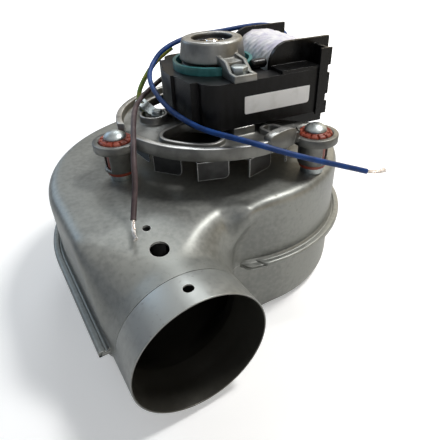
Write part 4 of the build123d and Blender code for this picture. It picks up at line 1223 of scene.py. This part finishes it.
@dataclass
class Lead:
    """One lead: its route from the motor to its free or fixed end."""

    name: str
    node: str
    slot: str
    route: tuple[Place, ...]
    finish: Insulation
    tip: Place | None = None
    length: float = 0.0
    radius: float = 1.25
    strand: float = 0.27
    lay: float = 0.5
    twist: float = 5.0

    def cord(self) -> Piece:
        """Smooth cord with the route's points as control points."""
        curve = bpy.data.curves.new(self.name, "CURVE")
        curve.dimensions = "3D"
        curve.bevel_depth = self.radius * MM
        curve.bevel_resolution = 6
        curve.use_fill_caps = True
        spline = curve.splines.new("NURBS")
        spline.points.add(len(self.route) - 1)
        places = np.hstack([np.array(self.route) * MM, np.ones((len(self.route), 1))])
        spline.points.foreach_set("co", places.ravel())
        spline.order_u = 3
        spline.use_endpoint_u = True
        spline.resolution_u = 12
        return linked(self.name, curve)

    def strands(self) -> Piece:
        """Seven tinned strands that twist round the conductor's line and fray a little towards the tip.

        The line is the quadratic curve over the exit, a point straight ahead, and the tip. Six strands
        circle the seventh at a set radius, by a turn that grows with the way along it.
        """
        end, before, tip = np.array(self.route[-1]), np.array(self.route[-2]), np.array(self.tip)
        heading = (end - before) / np.linalg.norm(end - before)
        middle = end + heading * np.linalg.norm(tip - end) / 2
        t = np.linspace(0, 1, 40)[:, None]
        line = (1 - t) ** 2 * (end - heading) + 2 * t * (1 - t) * middle + t**2 * tip
        ahead = np.gradient(line, axis=0)
        ahead /= np.linalg.norm(ahead, axis=1, keepdims=True)
        side = np.cross(ahead, (0.0, 0.0, 1.0))
        side /= np.linalg.norm(side, axis=1, keepdims=True)
        over = np.cross(side, ahead)
        ring = full_turn(8)[None, :, None]
        skin = np.cos(ring) * side[:, None] + np.sin(ring) * over[:, None]
        work = Patchwork()
        for index in range(7):
            swing = 2 * pi * index / 6 + self.twist * t
            out = (0.0 if index == 6 else self.lay) * (1 + 0.35 * t**2 * (1 + sin(index * 2.1)))
            core = line + out * (np.cos(swing) * side + np.sin(swing) * over)
            work.ends(core[:, None] + self.strand * skin)
        return work.build(self.name + "_strands", 60.0)

    def make(self, tinned: Material) -> None:
        """Builds the cord and its bare end, whose strands have a tinned finish."""
        cord = seat(self.cord(), self.finish.material(), self.slot, self.node)
        if self.tip is not None:
            seat(self.strands(), tinned, "tinned_strands", "lead_ends")


BLUE = Lead(
    "blue_lead",
    "lead_blue",
    "blue_insulation",
    (
        (52.6, 1.1, 106.0), (56.6, 5.2, 110.5), (57.8, 11.5, 117.0), (56.4, 18.3, 122.6),
        (49.9, 24.6, 125.0), (37.8, 29.1, 124.5), (23.2, 32.9, 123.0), (7.4, 34.8, 123.0),
        (-11.0, 33.4, 119.2), (-20.5, 29.5, 112.6), (-26.3, 20.5, 109.0), (-28.6, 10.0, 105.8),
        (-29.2, -1.0, 103.0), (-28.8, -12.0, 101.0), (-27.2, -23.0, 99.8), (-24.0, -34.0, 98.6),
        (-18.5, -44.5, 98.2), (-10.5, -54.0, 96.2), (0.6, -61.5, 91.8), (13.0, -66.5, 87.0),
        (25.0, -70.2, 82.4), (36.9, -73.4, 77.6),
    ),
    Insulation("blue insulation", (0.002, 0.030, 0.14), (0.003, 0.046, 0.21)),
    (46.7, -76.0, 76.5),
    255.1,
)
BROWN = Lead(
    "brown_lead",
    "lead_brown",
    "brown_insulation",
    (
        (49.7, 15.4, 108.0), (50.6, 22.8, 108.0), (47.0, 29.4, 108.3), (38.2, 31.8, 108.0),
        (22.3, 34.1, 107.5), (4.4, 36.0, 106.5), (-8.7, 35.8, 105.0), (-18.6, 28.5, 103.4),
        (-30.0, 21.0, 101.0), (-38.2, 11.0, 100.6), (-43.8, 0.0, 100.3), (-48.6, -11.0, 99.7),
        (-53.3, -22.0, 97.4), (-57.2, -30.0, 92.0), (-59.6, -35.0, 84.5), (-62.8, -39.0, 77.8),
        (-66.0, -44.5, 73.6),
    ),
    Insulation("brown insulation", (0.055, 0.036, 0.038), (0.09, 0.064, 0.066)),
    (-69.4, -55.0, 71.6),
    181.5,
)
EARTH = Lead(
    "earth_lead",
    "lead_earth",
    "earth_insulation",
    (
        (-4.2, 37.4, 117.6), (-10.5, 37.8, 114.6), (-17.5, 37.0, 109.8), (-24.0, 35.2, 103.8),
        (-29.2, 31.4, 98.8), (-31.4, 25.6, 95.2), (-30.7, 19.6, 92.7), (-28.9, 14.4, 92.0),
    ),
    Insulation("earth insulation", (0.30, 0.29, 0.03), (0.14, 0.22, 0.04)),
    None,
    51.2,
)


# Studio


@dataclass
class Studio:
    """Floor, lamps, world and the camera at the photo's view."""

    lens: float = 33.98
    azimuth: float = -29.9
    pitch: float = 35.2
    roll: float = -2.2
    place: Place = (-105.2, -184.3, 171.2)
    floor_tone: Colour = (0.86, 0.86, 0.86)
    floor_glow: Colour = (0.30, 0.30, 0.30)
    mirror_share: float = 0.15
    white_reach: tuple[float, float] = (0.16, 0.45)
    even: Colour = (0.15, 0.152, 0.155)
    cool: Colour = (0.17, 0.21, 0.29)
    warm: Colour = (0.36, 0.28, 0.16)
    ceiling: Colour = (0.70, 0.70, 0.70)

    def camera(self) -> None:
        """Camera whose axes follow from azimuth and pitch, and then turn by the roll."""
        a, p, r = radians(self.azimuth), radians(self.pitch), radians(self.roll)
        back = Vector((sin(a) * cos(p), -cos(a) * cos(p), sin(p)))
        right = Vector((cos(a), sin(a), 0.0))
        up = back.cross(right)
        across, over = cos(r) * right + sin(r) * up, cos(r) * up - sin(r) * right
        data = bpy.data.cameras.new("camera")
        data.lens = self.lens
        data.sensor_width = 36.0
        data.clip_start = 0.01
        data.clip_end = 50.0
        camera = linked("camera", data)
        turn = Matrix((across, over, back)).transposed().to_4x4()
        camera.matrix_world = Matrix.Translation(Vector(self.place) * MM) @ turn
        bpy.context.scene.camera = camera

    def floor(self) -> None:
        """Pale floor: a wide disc of rings at the height of the volute's underside.

        Eyes and polished pieces see it brighter than the lamps make it, and white away from the fan.
        """
        rings = np.array([0.0, 300.0, 1200.0, 6000.0])
        disc = turned(np.stack([rings, 0 * rings - 0.05], axis=-1), 96)
        piece = Patchwork().grid(disc).build("floor", outward=False)
        graph = Finish("pale floor")
        tone = graph.mix(self.floor_tone, (0.90, 0.90, 0.90), graph.noise(400.0, 2.0))
        camera, glossy, clear = graph.rays()
        away = graph.make("ShaderNodeVectorMath", {"operation": "LENGTH"}, {0: graph.place}, 1)
        glow = graph.mix(self.floor_glow, (1.0, 1.0, 1.0), away.step(*self.white_reach))
        glow = graph.mix((0.0, 0.0, 0.0), glow, camera + (glossy + clear) * self.mirror_share)
        sockets = {"Base_Color": tone, "Emission_Color": glow, "Emission_Strength": 1.0}
        piece.data.materials.append(graph.finish(**sockets, Roughness=0.7, Specular_IOR_Level=0.2))

    def lamp(self, name: str, place: Place, aim: Place, size: float, watts: float, tint: Colour) -> None:
        """Square soft lamp.

        Args:
            name: The lamp's name.
            place: Its place in millimetres.
            aim: The point that it faces.
            size: Its side in millimetres.
            watts: Its power.
            tint: Its colour.
        """
        data = bpy.data.lights.new(name, "AREA")
        data.size = size * MM
        data.energy = watts
        data.color = tint
        turn = (Vector(aim) - Vector(place)).to_track_quat("-Z", "Y").to_matrix().to_4x4()
        linked(name, data).matrix_world = Matrix.Translation(Vector(place) * MM) @ turn

    def world(self) -> None:
        """World that is white to the camera, a pale room to polished pieces, and an even light to the rest.

        The room is cool on the left and warm on the right, and its brightness falls from the ceiling down.
        """
        world = bpy.data.worlds.new("studio")
        graph = Graph(world)
        across, _, up = graph.axes(graph.make("ShaderNodeTexCoord", out="Generated"))
        camera, glossy, clear = graph.rays()
        room = graph.mix(self.cool, self.warm, across.step(-0.8, 0.8))
        room = graph.mix(room, self.ceiling, up.step(0.15, 0.9))
        tone = graph.mix(self.even, room, glossy + clear)
        tone = graph.mix(tone, (1.0, 1.0, 1.0), camera)
        background = graph.tree.nodes["Background"]
        graph.tree.links.new(tone.socket, background.inputs[0])
        bpy.context.scene.world = world

    def make(self) -> None:
        """Sets up the whole studio."""
        self.camera()
        self.floor()
        self.world()
        self.lamp("key", (315, -140, 700), (0, 0, 60), 140, 3.8, (1.0, 0.99, 0.97))
        self.lamp("ceiling", (210, 400, 640), (-50, -60, 60), 260, 1.1, (0.92, 0.97, 1.0))
        self.lamp("sky", (-260, 560, 400), (-40, 0, 60), 340, 0.7, (0.55, 0.76, 1.0))
        self.lamp("window", (660, 240, 330), (0, 0, 50), 560, 1.2, (1.0, 0.88, 0.68))
        self.lamp("front", (-120, -640, 420), (0, 0, 70), 420, 0.6, (1.0, 0.98, 0.95))
        self.lamp("warm", (420, -520, 120), (40, -30, 30), 260, 0.15, (1.0, 0.78, 0.45))
        bpy.context.scene.view_settings.view_transform = "Standard"


def main() -> None:
    """Builds the fan piece by piece."""
    Studio().make()
    tinned = Metal("tinned strands", (0.80, 0.76, 0.72), (0.58, 0.50, 0.44), 0.30, cloud=1.5, grain=0.2)
    strands = tinned.material()
    for lead in (BLUE, BROWN, EARTH):
        lead.make(strands)
    Volute().make()
    Suspension().make()
    Motor().make()
    Rotor().make()


if __name__ == "__main__":
    main()
